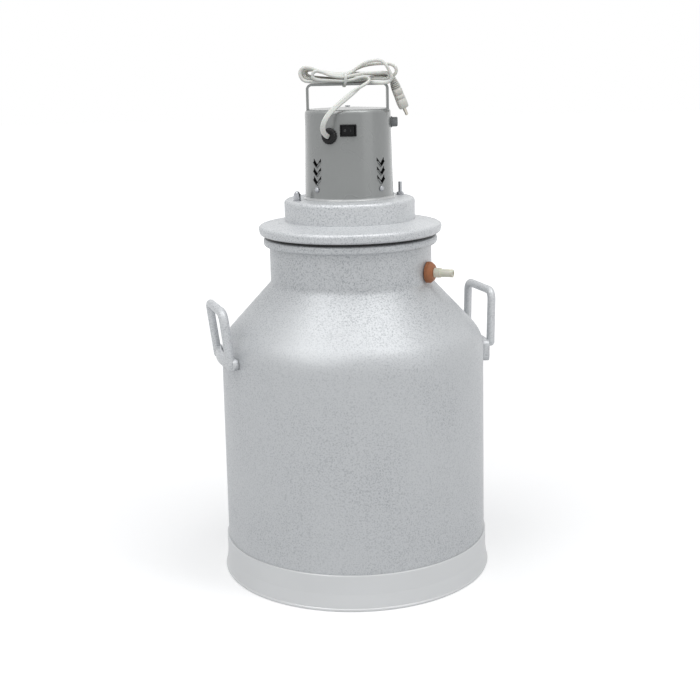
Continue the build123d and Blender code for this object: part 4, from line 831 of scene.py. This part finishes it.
plug = add_mesh("plug", *skin(plug_rings()), PLUG_PVC, "lid", "cord_white")
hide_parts("plug_body")


# The tie: a soft strip round the turns and the handle's bar.
def tie_path():
    """The strip's closed and smooth way round the turns, in Y and Z."""
    count = len(TIE_LOOP)
    path = []
    for n in range(count * TIE_STEPS):
        i, share = divmod(n, TIE_STEPS)
        f = share / TIE_STEPS
        corners = (TIE_LOOP[(i - 1) % count], TIE_LOOP[i], TIE_LOOP[(i + 1) % count])
        weights = ((1 - f) ** 2 / 2, 0.5 + f * (1 - f), f**2 / 2)
        y = sum(w * p[0] for w, p in zip(weights, corners))
        z = sum(w * p[1] for w, p in zip(weights, corners))
        path.append((y, z))
    return path


def tie_mesh():
    """The points and faces of the closed strip, which leans to and fro along the handle."""
    path = tie_path()
    count = len(path)
    middle_y, middle_z = TIE_MIDDLE
    points = []
    faces = []
    for n, (y, z) in enumerate(path):
        y0, z0 = path[n - 1]
        y1, z1 = path[(n + 1) % count]
        length = math.hypot(y1 - y0, z1 - z0)
        ny, nz = (z1 - z0) / length, -(y1 - y0) / length
        if ny * (y - middle_y) + nz * (z - middle_z) < 0:
            ny, nz = -ny, -nz
        lean = TIE_LEAN * math.sin(2 * math.pi * n / count + TIE_LEAN_START)
        for x, out in TIE_SECTION:
            points.append((TIE_X + x + lean, y + ny * out, z + nz * out))
    size = len(TIE_SECTION)
    for n in range(count):
        m = (n + 1) % count
        for j in range(size):
            k = (j + 1) % size
            faces.append((n * size + j, n * size + k, m * size + k, m * size + j))
    return points, faces


tie = add_mesh("tie", *tie_mesh(), CORD_PVC, "lid", "cord_white")
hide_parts("cord_tie")


# Floor, light and camera. Their lengths are in metres.
FLOOR_CORNERS = ((-9, -4, 0), (9, -4, 0), (9, 14, 0), (-9, 14, 0))
FLOOR_COLOUR = (0.80, 0.80, 0.80, 1)
# The floor shows as white as the background from this distance on, and its own shade shows near the object.
FLOOR_FAR = 3.0
FLOOR_GLOW_NEAR = 0.3
FLOOR_GLOW_FAR = 1.0

WORLD_COLOUR = (0.95, 0.97, 1.0, 1)
WORLD_LIGHT = 0.36

# Each lamp: its name, its place, what it points at, its size and its power in watts.
LAMPS = (
    ("key", (-1.1, -1.7, 1.9), (0, 0, 0.35), (1.1, 1.1), 6),
    ("fill", (1.7, -1.3, 1.1), (0, 0, 0.3), (1.2, 1.4), 3),
    ("top", (0.1, -0.5, 2.4), (0, 0, 0.4), (3.0, 1.8), 22),
    ("strip_left", (-1.1, -0.5, 2.35), (0, 0, 0.4), (0.4, 1.8), 6),
    ("strip_right", (0.75, -0.5, 2.35), (0, 0, 0.4), (0.4, 1.8), 7),
)


def seen_white(tree):
    """1 for what the camera, a glossy surface or glass sees, 0 for light that falls on the object."""
    path = tree.nodes.new("ShaderNodeLightPath")
    seen = combine(tree, "MAXIMUM", path.outputs["Is Camera Ray"], path.outputs["Is Glossy Ray"])
    return combine(tree, "MAXIMUM", seen, path.outputs["Is Transmission Ray"])


def build_world():
    world = bpy.data.worlds.new("studio")
    bpy.context.scene.world = world
    world.use_nodes = True
    tree = world.node_tree
    tree.nodes.clear()
    out = tree.nodes.new("ShaderNodeOutputWorld")
    seen = tree.nodes.new("ShaderNodeBackground")
    seen.inputs["Color"].default_value = (1, 1, 1, 1)
    seen.inputs["Strength"].default_value = 1.0
    lit = tree.nodes.new("ShaderNodeBackground")
    lit.inputs["Color"].default_value = WORLD_COLOUR
    lit.inputs["Strength"].default_value = WORLD_LIGHT
    mix = tree.nodes.new("ShaderNodeMixShader")
    tree.links.new(seen_white(tree), mix.inputs[0])
    tree.links.new(lit.outputs[0], mix.inputs[1])
    tree.links.new(seen.outputs[0], mix.inputs[2])
    tree.links.new(mix.outputs[0], out.inputs["Surface"])


def build_floor():
    mesh = bpy.data.meshes.new("floor")
    mesh.from_pydata(FLOOR_CORNERS, [], [(0, 1, 2, 3)])
    floor = bpy.data.objects.new("floor", mesh)
    bpy.context.scene.collection.objects.link(floor)
    material = bpy.data.materials.new("floor")
    material.use_nodes = True
    tree = material.node_tree
    tree.nodes.clear()
    out = tree.nodes.new("ShaderNodeOutputMaterial")
    matte = tree.nodes.new("ShaderNodeBsdfDiffuse")
    matte.inputs["Color"].default_value = FLOOR_COLOUR
    white = tree.nodes.new("ShaderNodeEmission")
    x, y, _ = axes(tree, "Object")
    glow = span(tree, from_axis(tree, x, y), 0.0, FLOOR_FAR, FLOOR_GLOW_NEAR, FLOOR_GLOW_FAR)
    tree.links.new(combine(tree, "MULTIPLY", seen_white(tree), glow), white.inputs["Strength"])
    both = tree.nodes.new("ShaderNodeAddShader")
    tree.links.new(matte.outputs[0], both.inputs[0])
    tree.links.new(white.outputs[0], both.inputs[1])
    tree.links.new(both.outputs[0], out.inputs["Surface"])
    mesh.materials.append(material)


def area_lamp(name, spot, towards, size, power):
    data = bpy.data.lights.new(name, "AREA")
    data.shape = "RECTANGLE"
    data.size, data.size_y = size
    data.energy = power
    lamp = bpy.data.objects.new(name, data)
    bpy.context.scene.collection.objects.link(lamp)
    lamp.location = spot
    lamp.rotation_euler = (Vector(towards) - Vector(spot)).to_track_quat("-Z", "Y").to_euler()


build_world()
build_floor()
for lamp in LAMPS:
    area_lamp(*lamp)

camera_data = bpy.data.cameras.new("camera")
camera_data.sensor_width = CAMERA_SENSOR
camera_data.lens = CAMERA_LENS
camera = bpy.data.objects.new("camera", camera_data)
bpy.context.scene.collection.objects.link(camera)
pitch = Matrix.Rotation(math.radians(90 - CAMERA_DOWN), 4, "X")
roll = Matrix.Rotation(math.radians(CAMERA_ROLL), 4, "Z")
camera.matrix_world = Matrix.Translation(CAMERA_AT) @ (pitch @ roll)
bpy.context.scene.camera = camera
bpy.context.scene.view_settings.view_transform = "Standard"
